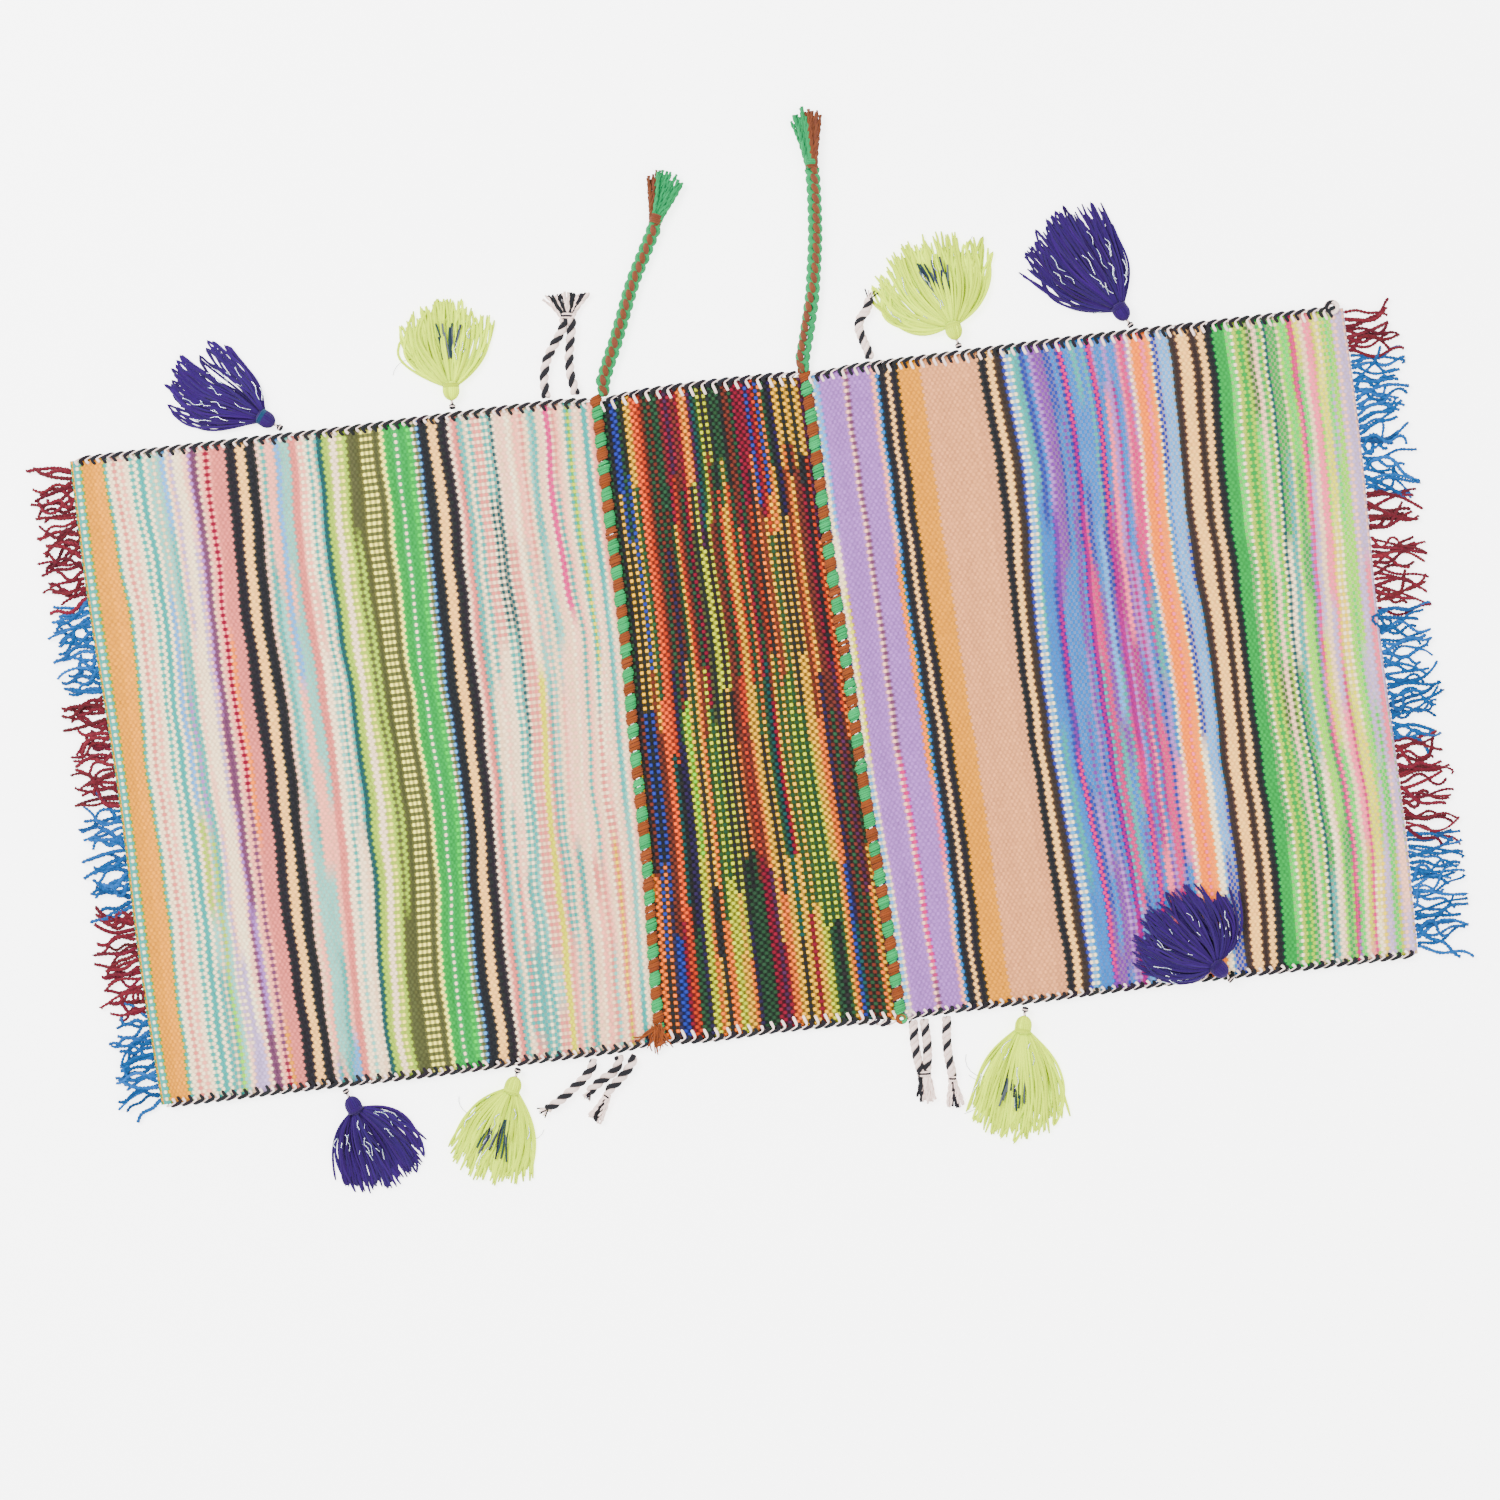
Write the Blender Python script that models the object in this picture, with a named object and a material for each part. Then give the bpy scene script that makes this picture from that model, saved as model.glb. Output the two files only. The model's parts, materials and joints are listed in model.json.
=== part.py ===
"""Woven double-pouch runner rug lying flat on the floor.

Three cloth panels stand side by side along X and are laced together: a single-layer centre
panel and a two-layer pouch on each side. The long edges are overcast with cord, the outer ends
carry fringe, and tassels, twisted ties and two braids hang from the edges.
Metres, +Z up. The origin is the middle of the cloth, on the plane that it lies on.
"Far" is the +Y edge and "near" the -Y edge.
"""
import math

import bmesh
import bpy
from mathutils import Matrix, Vector

COLLECTION = "runner_rug"
CLEARANCE = 0.0003            # air between pieces that touch

# Cloth
CLOTH_WIDTH = 0.552           # far edge to near edge
CENTRE_LENGTH = 0.1929        # left seam to right seam, halfway across
LEFT_POUCH_LENGTH = 0.440     # seam to fold, halfway across
RIGHT_POUCH_LENGTH = 0.453
CENTRE_OFFSET = -0.0065       # middle of the centre panel along X
LEFT_SEAM_SLANT = 0.0106      # how much further right the far end is than the near end
RIGHT_SEAM_SLANT = -0.0168
LEFT_FOLD_SLANT = -0.0120
RIGHT_FOLD_SLANT = 0.0025
LAYER_THICKNESS = 0.0026      # one pouch layer
CENTRE_THICKNESS = 0.0034

# Lacing, which fills the seam and is the line that a pouch turns about
LACING_RADIUS = 0.0017
LACING_WAIST = 0.72           # radius between two stitches, as a share of the full radius
STITCH_PITCH = 0.012

# Edge binding
BINDING_RADIUS = 0.0026
BINDING_SETBACK = 0.0042      # from the turning line to a binding's end

# Fringe
LEFT_FRINGE_LENGTH = 0.040
RIGHT_FRINGE_LENGTH = 0.047
FRINGE_THICKNESS = 0.0036
FRINGE_CORD = 0.0048          # width of one fringe cord in its comb
FRINGE_PITCH = 0.0078
FRINGE_HEADING = 0.0090       # unparted strip at the root
FRINGE_GROUP_GAP = 0.0020

# Tassels
HANGER_RADIUS = 0.0014
HANGER_KNOT_RADIUS = 0.0022
HANGER_LENGTH = 0.0100        # hinge line to the tassel's head
HEAD_RADIUS = 0.0075
NECK_RADIUS = 0.0058
SKIRT_HALF_DEPTH = 0.0105     # half the height of the lying skirt
PERCH_ANGLE = 45.0            # degrees up the binding's round to a tassel's knot
LATHE_STEPS = 16

# Ties and braids
TIE_RADIUS = 0.0029
BRAID_RADIUS = 0.0056
TUFT_STEPS = 12

# Colours, linear RGB
CREAM = (0.78, 0.66, 0.53)
WARM_STRIPES = (0.46, 0.16, 0.08)
PALE_STRIPES = (0.68, 0.58, 0.50)
BRIGHT_STRIPES = (0.52, 0.38, 0.55)
GREEN = (0.08, 0.46, 0.22)
BLACK_AND_WHITE = (0.34, 0.33, 0.33)
RED = (0.26, 0.022, 0.035)
BLUE = (0.03, 0.20, 0.47)
PURPLE = (0.045, 0.020, 0.26)
LIME = (0.62, 0.73, 0.04)
TERRACOTTA = (0.36, 0.12, 0.045)

POUCH_THICKNESS = 2 * LAYER_THICKNESS + CLEARANCE
HINGE_HEIGHT = CENTRE_THICKNESS / 2
PANEL_SETBACK = LACING_RADIUS + CLEARANCE
HALF_WIDTH = CLOTH_WIDTH / 2
BINDING_Y = HALF_WIDTH + CLEARANCE + BINDING_RADIUS
BINDING_Z = POUCH_THICKNESS / 2
OUTER_Y = BINDING_Y + BINDING_RADIUS
FAR, NEAR = 1, -1
LEFT, RIGHT = -1, 1

# Tassels: name, colour, side, edge, distance from the seam along the edge, heading in degrees
# away from square to the edge (positive leans to +X), reach from the hinge line, half spread.
TASSELS = (
    ("purple_tassel_left_far", PURPLE, LEFT, FAR, 0.268, -52.0, 0.102, 0.0240),
    ("lime_tassel_left_far", LIME, LEFT, FAR, 0.121, 3.0, 0.091, 0.0360),
    ("lime_tassel_right_far", LIME, RIGHT, FAR, 0.1325, -10.0, 0.101, 0.0410),
    ("purple_tassel_right_far", PURPLE, RIGHT, FAR, 0.2795, -27.0, 0.116, 0.0370),
    ("purple_tassel_left_near", PURPLE, LEFT, NEAR, 0.2695, 20.0, 0.090, 0.0300),
    ("lime_tassel_left_near", LIME, LEFT, NEAR, 0.1225, -24.0, 0.101, 0.0320),
    ("lime_tassel_right_near", LIME, RIGHT, NEAR, 0.1046, -14.0, 0.112, 0.0360),
)
# This tassel is turned back onto the cloth, so its reach is measured inward.
TURNED_TASSEL = ("purple_tassel_right_near", PURPLE, RIGHT, NEAR, 0.2806, -40.0, 0.092, 0.0330)

# Fringe groups: name, colour, side, start and end as a distance from the far edge.
FRINGES = (
    ("left_fringe_red_1", RED, LEFT, 0.006, 0.118),
    ("left_fringe_blue_1", BLUE, LEFT, 0.118, 0.200),
    ("left_fringe_red_2", RED, LEFT, 0.200, 0.298),
    ("left_fringe_blue_2", BLUE, LEFT, 0.298, 0.385),
    ("left_fringe_red_3", RED, LEFT, 0.385, 0.474),
    ("left_fringe_blue_3", BLUE, LEFT, 0.474, 0.548),
    ("right_fringe_red_1", RED, RIGHT, 0.004, 0.040),
    ("right_fringe_blue_1", BLUE, RIGHT, 0.040, 0.156),
    ("right_fringe_red_2", RED, RIGHT, 0.156, 0.258),
    ("right_fringe_blue_2", BLUE, RIGHT, 0.258, 0.369),
    ("right_fringe_red_3", RED, RIGHT, 0.369, 0.447),
    ("right_fringe_blue_3", BLUE, RIGHT, 0.447, 0.548),
)

# Routes chosen by hand for the ties and braids, which all lie on the floor: name, side, edge, then
# points as (distance from the seam, distance from the edge's outer face). A tie starts square to
# the edge and ends in line with its tuft.
TIE_ROUTES = (
    ("left_far_tie_1", LEFT, FAR, ((0.0412, 0.0), (0.0412, 0.0040), (0.0410, 0.0160), (0.0368, 0.0310),
                                   (0.0285, 0.0440), (0.0215, 0.0540), (0.0186, 0.0595),
                                   (0.0183, 0.0637))),
    ("left_far_tie_2", LEFT, FAR, ((0.0163, 0.0), (0.0163, 0.0040), (0.0182, 0.0160), (0.0178, 0.0300),
                                   (0.0150, 0.0450), (0.0124, 0.0570), (0.0121, 0.0637))),
    ("right_far_tie", RIGHT, FAR, ((0.0564, 0.0), (0.0564, 0.0040), (0.0528, 0.0160), (0.0506, 0.0260),
                                   (0.0530, 0.0345), (0.0590, 0.0410), (0.0620, 0.0500))),
    ("left_near_tie_1", LEFT, NEAR, ((0.0586, 0.0), (0.0586, 0.0040), (0.0660, 0.0130),
                                     (0.0770, 0.0215), (0.0890, 0.0300), (0.1014, 0.0366))),
    ("left_near_tie_2", LEFT, NEAR, ((0.0362, 0.0), (0.0362, 0.0040), (0.0420, 0.0120),
                                     (0.0530, 0.0180), (0.0640, 0.0260))),
    ("left_near_tie_3", LEFT, NEAR, ((0.0244, 0.0), (0.0244, 0.0040), (0.0310, 0.0130),
                                     (0.0400, 0.0210), (0.0464, 0.0260), (0.0491, 0.0302))),
    ("right_near_tie_1", RIGHT, NEAR, ((0.0085, 0.0), (0.0085, 0.0040), (0.0078, 0.0180),
                                       (0.0086, 0.0320), (0.0096, 0.0380), (0.0096, 0.0430))),
    ("right_near_tie_2", RIGHT, NEAR, ((0.0180, 0.0), (0.0180, 0.0040), (0.0184, 0.0180),
                                       (0.0172, 0.0320), (0.0158, 0.0380), (0.0158, 0.0430))),
    ("right_near_tie_3", RIGHT, NEAR, ((0.0370, 0.0), (0.0370, 0.0040), (0.0352, 0.0180),
                                       (0.0350, 0.0340), (0.0360, 0.0440), (0.0360, 0.0500))),
)
# A braid's points have a negative distance where they lean over the centre panel.
BRAID_ROUTES = (
    ("left_braid", LEFT, FAR, ((-0.0081, 0.0), (-0.0081, 0.0060), (-0.0148, 0.0220), (-0.0228, 0.0390),
                               (-0.0330, 0.0630), (-0.0432, 0.0870), (-0.0550, 0.1090),
                               (-0.0660, 0.1292), (-0.0681, 0.1348))),
    ("right_braid", RIGHT, FAR, ((0.0, 0.0), (0.0, 0.0060), (0.0062, 0.0270), (0.0138, 0.0555),
                                 (0.0186, 0.0810), (0.0228, 0.1070), (0.0258, 0.1370),
                                 (0.0271, 0.1592), (0.0271, 0.1652))),
)
# Wrapped brushes on the cord ends: name, the cords it closes, its length and half spread.
TUFTS = (
    ("left_far_tie_tuft", ("left_far_tie_1", "left_far_tie_2"), 0.0245, 0.0170),
    ("left_near_tie_tuft", ("left_near_tie_3",), 0.0290, 0.0080),
    ("right_near_tie_tuft_1", ("right_near_tie_1", "right_near_tie_2"), 0.0290, 0.0085),
    ("right_near_tie_tuft_2", ("right_near_tie_3",), 0.0290, 0.0080),
    ("left_braid_tuft", ("left_braid",), 0.0480, 0.0170),
    ("right_braid_tuft", ("right_braid",), 0.0545, 0.0140),
)


def clear_scene():
    for obj in list(bpy.data.objects):
        bpy.data.objects.remove(obj, do_unlink=True)


def new_collection():
    collection = bpy.data.collections.new(COLLECTION)
    bpy.context.scene.collection.children.link(collection)
    return collection


def yarn(name, colour):
    """A matt wool material."""
    material = bpy.data.materials.new(name)
    material.use_nodes = True
    shader = material.node_tree.nodes["Principled BSDF"]
    shader.inputs["Base Color"].default_value = (*colour, 1.0)
    shader.inputs["Roughness"].default_value = 0.9
    shader.inputs["Metallic"].default_value = 0.0
    return material


def add_object(collection, name, data, colour, origin=(0.0, 0.0, 0.0)):
    obj = bpy.data.objects.new(name, data)
    obj.location = origin
    data.materials.append(yarn(name + "_yarn", colour))
    collection.objects.link(obj)
    return obj


def seam_x(side, y):
    """X of a seam's turning line at a given Y."""
    middle = CENTRE_OFFSET + side * CENTRE_LENGTH / 2
    slant = LEFT_SEAM_SLANT if side == LEFT else RIGHT_SEAM_SLANT
    return middle + slant * y / CLOTH_WIDTH


def fold_x(side, y):
    """X of a pouch's outer fold at a given Y."""
    length = LEFT_POUCH_LENGTH if side == LEFT else RIGHT_POUCH_LENGTH
    slant = LEFT_FOLD_SLANT if side == LEFT else RIGHT_FOLD_SLANT
    return CENTRE_OFFSET + side * (CENTRE_LENGTH / 2 + length) + slant * y / CLOTH_WIDTH


def flat_slab(collection, name, outline, bottom, thickness, colour):
    """A level slab: a filled 2D outline given a thickness."""
    curve = bpy.data.curves.new(name, "CURVE")
    curve.dimensions = "2D"
    curve.fill_mode = "BOTH"
    curve.extrude = thickness / 2
    spline = curve.splines.new("POLY")
    spline.points.add(len(outline) - 1)
    for point, (x, y) in zip(spline.points, outline):
        point.co = (x, y, 0.0, 1.0)
    spline.use_cyclic_u = True
    return add_object(collection, name, curve, colour, (0.0, 0.0, bottom + thickness / 2))


def tube(collection, name, points, radius, colour, radii=None, resolution=2):
    """A round cord through 3D points, with closed ends."""
    curve = bpy.data.curves.new(name, "CURVE")
    curve.dimensions = "3D"
    curve.bevel_depth = radius
    curve.bevel_resolution = resolution
    curve.use_fill_caps = True
    spline = curve.splines.new("POLY")
    spline.points.add(len(points) - 1)
    for index, (point, place) in enumerate(zip(spline.points, points)):
        point.co = (*place, 1.0)
        point.radius = radii[index] if radii else 1.0
    return add_object(collection, name, curve, colour)


def smooth_route(places, spacing):
    """Points about a spacing apart on a Catmull-Rom curve through the given places."""
    ends = [2 * places[0] - places[1], *places, 2 * places[-1] - places[-2]]
    route = []
    for index in range(len(places) - 1):
        p0, p1, p2, p3 = ends[index:index + 4]
        count = max(1, round((p2 - p1).length / spacing))
        for step in range(count):
            t = step / count
            route.append(0.5 * (2 * p1 + (p2 - p0) * t + (2 * p0 - 5 * p1 + 4 * p2 - p3) * t * t
                                + (3 * p1 - p0 - 3 * p2 + p3) * t ** 3))
    route.append(places[-1])
    return route


def lathe(name, profile, steps):
    """A closed mesh turned about X from (distance, radius) pairs that start and end at zero."""
    mesh = bpy.data.meshes.new(name)
    work = bmesh.new()
    verts = [work.verts.new((x, radius, 0.0)) for x, radius in profile]
    edges = [work.edges.new(pair) for pair in zip(verts, verts[1:])]
    bmesh.ops.spin(work, geom=verts + edges, cent=(0, 0, 0), axis=(1, 0, 0),
                   angle=math.tau, steps=steps, use_merge=True)
    bmesh.ops.remove_doubles(work, verts=work.verts, dist=0.00001)
    bmesh.ops.recalc_face_normals(work, faces=work.faces)
    work.to_mesh(mesh)
    work.free()
    mesh.shade_smooth()
    return mesh


def reshape(mesh, rule):
    """Move every vertex of a mesh by a rule that takes and returns a vector."""
    for vertex in mesh.vertices:
        vertex.co = rule(vertex.co)


def panel(collection, name, inner, outer, bottom, thickness, colour):
    """One cloth layer between two X functions of Y."""
    outline = [(inner(HALF_WIDTH), HALF_WIDTH), (inner(-HALF_WIDTH), -HALF_WIDTH),
               (outer(-HALF_WIDTH), -HALF_WIDTH), (outer(HALF_WIDTH), HALF_WIDTH)]
    flat_slab(collection, name, outline, bottom, thickness, colour)


def build_cloth(collection):
    panel(collection, "centre_panel",
          lambda y: seam_x(RIGHT, y) - PANEL_SETBACK, lambda y: seam_x(LEFT, y) + PANEL_SETBACK,
          0.0, CENTRE_THICKNESS, WARM_STRIPES)
    top_height = LAYER_THICKNESS + CLEARANCE
    for side, label, colour in ((LEFT, "left", PALE_STRIPES), (RIGHT, "right", BRIGHT_STRIPES)):
        def inner(y, side=side):
            return seam_x(side, y) + side * PANEL_SETBACK

        def outer(y, side=side):
            return fold_x(side, y)

        panel(collection, label + "_pouch_underside", inner, outer, 0.0, LAYER_THICKNESS, CREAM)
        panel(collection, label + "_pouch_top", inner, outer, top_height, LAYER_THICKNESS, colour)


def build_lacing(collection):
    """A stitched cord that fills each seam, thick at a stitch and thin between two."""
    count = 2 * round(CLOTH_WIDTH / STITCH_PITCH) + 1
    radii = [1.0 if index % 2 else LACING_WAIST for index in range(count)]
    for side, label in ((LEFT, "left"), (RIGHT, "right")):
        points = []
        for index in range(count):
            y = HALF_WIDTH - CLOTH_WIDTH * index / (count - 1)
            points.append((seam_x(side, y), y, HINGE_HEIGHT))
        tube(collection, label + "_lacing", points, LACING_RADIUS, GREEN, radii)


def build_bindings(collection):
    """Overcast cord along the long edges of each panel."""
    for edge, edge_label in ((FAR, "far"), (NEAR, "near")):
        y = edge * BINDING_Y
        ends = {
            "left": (fold_x(LEFT, y), seam_x(LEFT, y) - BINDING_SETBACK),
            "centre": (seam_x(LEFT, y) + BINDING_SETBACK, seam_x(RIGHT, y) - BINDING_SETBACK),
            "right": (seam_x(RIGHT, y) + BINDING_SETBACK, fold_x(RIGHT, y)),
        }
        for label, (start, end) in ends.items():
            points = [(start, y, BINDING_Z), (end, y, BINDING_Z)]
            tube(collection, f"{label}_{edge_label}_binding", points, BINDING_RADIUS,
                 BLACK_AND_WHITE, resolution=3)


def fringe_outline(side, start, end, length):
    """A comb of cords from a common heading, in order round its edge."""
    first = HALF_WIDTH - start - FRINGE_GROUP_GAP / 2
    last = HALF_WIDTH - end + FRINGE_GROUP_GAP / 2
    count = max(2, int((first - last) / FRINGE_PITCH))
    pitch = (first - last) / count
    gap = pitch - FRINGE_CORD

    def at(y, reach):
        return (fold_x(side, y) + side * (CLEARANCE + reach), y)

    outline = [at(last, 0.0), at(first, 0.0)]
    for index in range(count):
        far_side = first - index * pitch - (gap / 2 if index else 0.0)
        near_side = first - (index + 1) * pitch + (gap / 2 if index < count - 1 else 0.0)
        reach = length * (1.0 - 0.16 * (index % 3))
        if index:
            outline.append(at(far_side, FRINGE_HEADING))
        outline += [at(far_side, reach), at(near_side, reach)]
        if index < count - 1:
            outline.append(at(near_side, FRINGE_HEADING))
    return outline


def build_fringes(collection):
    for name, colour, side, start, end in FRINGES:
        length = LEFT_FRINGE_LENGTH if side == LEFT else RIGHT_FRINGE_LENGTH
        outline = fringe_outline(side, start, end, length)
        flat_slab(collection, name, outline, 0.0, FRINGE_THICKNESS, colour)


def hanger_mesh(name):
    """A knot centred on the hinge line, with a straight cord to the tassel's head."""
    angles = [math.pi - step * math.pi / 5 for step in range(5)]
    profile = [(HANGER_KNOT_RADIUS * math.cos(a), HANGER_KNOT_RADIUS * math.sin(a)) for a in angles]
    profile[0] = (-HANGER_KNOT_RADIUS, 0.0)
    profile += [(HANGER_LENGTH, HANGER_RADIUS), (HANGER_LENGTH, 0.0)]
    return lathe(name, profile, LATHE_STEPS)


def tassel_mesh(name, reach, spread):
    """Head, bound neck and flared skirt, with the skirt pressed flat as it lies."""
    start = HANGER_LENGTH + CLEARANCE
    neck = start + 1.9 * HEAD_RADIUS
    skirt = reach - neck
    profile = [(start, 0.0), (start, 0.65 * HEAD_RADIUS),
               (start + 0.5 * HEAD_RADIUS, HEAD_RADIUS), (start + 1.3 * HEAD_RADIUS, HEAD_RADIUS),
               (neck, NECK_RADIUS), (neck + 0.004, NECK_RADIUS)]
    for share, width in ((0.25, 0.55), (0.50, 0.85), (0.75, 1.0), (0.92, 0.95), (1.0, 0.60)):
        profile.append((neck + share * skirt, width * spread))
    profile.append((reach, 0.0))
    mesh = lathe(name, profile, LATHE_STEPS)

    def press(place):
        radius = max(math.hypot(place.y, place.z), SKIRT_HALF_DEPTH)
        return Vector((place.x, place.y, place.z * SKIRT_HALF_DEPTH / radius))

    reshape(mesh, press)
    return mesh


def place_tassel(collection, spec, hinge, heading, lift):
    """Put a hanger and its tassel at a hinge point, turned in the level plane."""
    name, colour, _, _, _, _, reach, spread = spec
    turn = Matrix.Rotation(heading, 4, "Z")
    hanger = add_object(collection, name + "_hanger", hanger_mesh(name + "_hanger"),
                        BLACK_AND_WHITE, hinge)
    mesh = tassel_mesh(name, reach, spread)
    mesh.transform(Matrix.Translation((0.0, 0.0, lift)))
    tassel = add_object(collection, name, mesh, colour, hinge)
    for obj in (hanger, tassel):
        obj.rotation_euler = turn.to_euler()


def build_tassels(collection):
    """Each tassel's knot sits on the edge binding, and its skirt on what it lies on."""
    perch = BINDING_RADIUS + CLEARANCE + HANGER_KNOT_RADIUS
    for spec in (*TASSELS, TURNED_TASSEL):
        _, _, side, edge, from_seam, heading, _, _ = spec
        turned = spec is TURNED_TASSEL
        angle = math.radians(90.0 if turned else PERCH_ANGLE)
        x = seam_x(side, edge * HALF_WIDTH) + side * from_seam
        y = edge * (BINDING_Y + perch * math.cos(angle))
        knot_z = BINDING_Z + perch * math.sin(angle)
        outward = -edge if turned else edge
        floor = POUCH_THICKNESS if turned else 0.0
        place_tassel(collection, spec, (x, y, knot_z), outward * math.radians(90.0 - heading),
                     floor + CLEARANCE + SKIRT_HALF_DEPTH - knot_z)


def cord_points(route, radius):
    """Places on the floor for one route, from its seam and edge distances."""
    _, side, edge, points = route
    places = []
    for from_seam, from_edge in points:
        x = seam_x(side, edge * OUTER_Y) + side * from_seam
        y = edge * (OUTER_Y + CLEARANCE + from_edge)
        places.append(Vector((x, y, radius + CLEARANCE)))
    return places


def build_free_cords(collection):
    """Twisted ties and braids that lie on the floor."""
    for routes, radius, colour in ((TIE_ROUTES, TIE_RADIUS, BLACK_AND_WHITE),
                                   (BRAID_ROUTES, BRAID_RADIUS, GREEN)):
        for route in routes:
            points = smooth_route(cord_points(route, radius), 2.2 * radius)
            tube(collection, route[0], points, radius, colour)


def build_tufts(collection):
    """Wrapped ends of the ties and braids, spread like a brush beyond the cord ends."""
    routes = {route[0]: (route, TIE_RADIUS) for route in TIE_ROUTES}
    routes.update({route[0]: (route, BRAID_RADIUS) for route in BRAID_ROUTES})
    for name, cords, length, spread in TUFTS:
        radius = routes[cords[0]][1]
        ends = [cord_points(routes[cord][0], radius)[-2:] for cord in cords]
        root = sum((end[1] for end in ends), Vector()) / len(ends)
        along = (ends[0][1] - ends[0][0]).normalized()
        wrap = radius * (1.0 if len(ends) == 1 else 2.0)
        profile = [(0.0, 0.0), (0.0, wrap), (0.2 * length, wrap), (0.6 * length, 0.8 * spread),
                   (0.9 * length, spread), (length, 0.6 * spread), (length, 0.0)]
        mesh = lathe(name, profile, TUFT_STEPS)
        reshape(mesh, lambda p, r=radius: Vector((p.x, p.y, max(-r, min(r, p.z)))))
        colour = BLACK_AND_WHITE if radius == TIE_RADIUS else TERRACOTTA
        tuft = add_object(collection, name, mesh, colour, root + CLEARANCE * along)
        tuft.rotation_euler = (0.0, 0.0, math.atan2(along.y, along.x))


def main():
    clear_scene()
    collection = new_collection()
    build_cloth(collection)
    build_lacing(collection)
    build_bindings(collection)
    build_fringes(collection)
    build_tassels(collection)
    build_free_cords(collection)
    build_tufts(collection)


main()
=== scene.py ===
"""Looks of the woven double-pouch runner rug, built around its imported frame.

Two flat pouches and a centre panel are woven thread by thread, laced together, overcast along
their long edges, and finished with fringe, tassels, twisted ties and two braids.
Metres, in the frame's own axes: +X along the runner, +Y the far edge, +Z up.
"""

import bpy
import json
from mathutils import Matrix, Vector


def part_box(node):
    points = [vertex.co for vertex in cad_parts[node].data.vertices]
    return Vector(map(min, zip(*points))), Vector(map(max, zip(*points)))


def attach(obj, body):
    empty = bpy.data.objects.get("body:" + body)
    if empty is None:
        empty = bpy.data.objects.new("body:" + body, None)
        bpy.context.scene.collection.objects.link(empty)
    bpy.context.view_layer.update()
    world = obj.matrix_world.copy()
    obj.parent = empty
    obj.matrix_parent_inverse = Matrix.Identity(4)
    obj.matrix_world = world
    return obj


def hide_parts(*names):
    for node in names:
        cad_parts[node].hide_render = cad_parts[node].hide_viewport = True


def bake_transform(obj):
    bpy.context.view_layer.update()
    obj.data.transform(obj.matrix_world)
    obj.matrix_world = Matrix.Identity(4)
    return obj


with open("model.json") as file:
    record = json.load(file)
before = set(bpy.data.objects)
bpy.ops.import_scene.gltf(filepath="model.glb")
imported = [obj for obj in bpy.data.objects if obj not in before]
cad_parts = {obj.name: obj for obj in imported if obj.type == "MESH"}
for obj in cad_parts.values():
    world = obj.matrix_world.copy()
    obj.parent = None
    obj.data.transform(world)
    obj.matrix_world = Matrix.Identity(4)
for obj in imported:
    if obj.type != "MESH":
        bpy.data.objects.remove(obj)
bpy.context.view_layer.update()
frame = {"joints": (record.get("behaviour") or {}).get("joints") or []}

import json
import logging
import math
import string
from dataclasses import dataclass, field
from enum import Enum
from functools import partial

import bpy
import numpy as np

LOG = logging.getLogger("runner_rug")
MM = 0.001
FAR, NEAR = 1, -1
LEFT, RIGHT = -1, 1
SIDE_NAME = {LEFT: "left", RIGHT: "right"}
EDGE_NAME = {FAR: "far", NEAR: "near"}

# Yarn colours, by the letter that the drafts call them by, in sRGB.
DYES = {
    "A": (224, 178, 106), "a": (228, 184, 124), "T": (222, 184, 155), "B": (232, 206, 170),
    "W": (230, 219, 206), "w": (226, 210, 194), "P": (232, 192, 180), "p": (232, 206, 194),
    "q": (224, 164, 154), "H": (228, 92, 152), "M": (192, 76, 152), "m": (150, 100, 184),
    "l": (188, 158, 204), "L": (200, 190, 210), "u": (142, 92, 124), "S": (78, 160, 212),
    "s": (144, 190, 220), "b": (56, 98, 188), "n": (48, 44, 96), "e": (116, 184, 180),
    "E": (168, 204, 198), "d": (48, 104, 108), "G": (60, 180, 100), "g": (138, 208, 124),
    "h": (178, 212, 120), "i": (190, 200, 126), "O": (112, 112, 68), "j": (218, 212, 134),
    "y": (226, 192, 78), "z": (206, 202, 84), "o": (234, 156, 64), "x": (238, 140, 56),
    "r": (212, 98, 58), "R": (142, 62, 46), "c": (168, 44, 66), "v": (98, 46, 92),
    "f": (50, 94, 60), "F": (94, 130, 70), "t": (34, 100, 100), "K": (40, 40, 46),
    "k": (74, 55, 47), "X": (246, 178, 112), "N": (238, 162, 174), "Y": (226, 208, 108),
    "J": (230, 222, 178),
}

# Light that the studio sends back from a pure white surface, and Blender's AgX film response as
# published: how it mixes the Rec.2020 channels before and after its curve over log exposure.
WHITE_LIGHT = 2.98
WIDE_FROM_SRGB = np.array(((0.6274, 0.3293, 0.0433), (0.0691, 0.9195, 0.0113), (0.0164, 0.0880, 0.8956)))
FILM_INSET = np.array(((0.8566, 0.0951, 0.0483), (0.1373, 0.7612, 0.1014), (0.1119, 0.0768, 0.8113)))
FILM_OUTSET = np.array(((1.1271, -0.1106, -0.0165), (-0.1413, 1.1578, -0.0165),
                        (-0.1413, -0.1106, 1.2519)))
EXPOSURE = np.linspace(0.03, 1.0, 500)
FILM_CURVE = np.polyval((15.5, -40.14, 31.96, -6.868, 0.4298, 0.1191, -0.00232), EXPOSURE)


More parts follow.
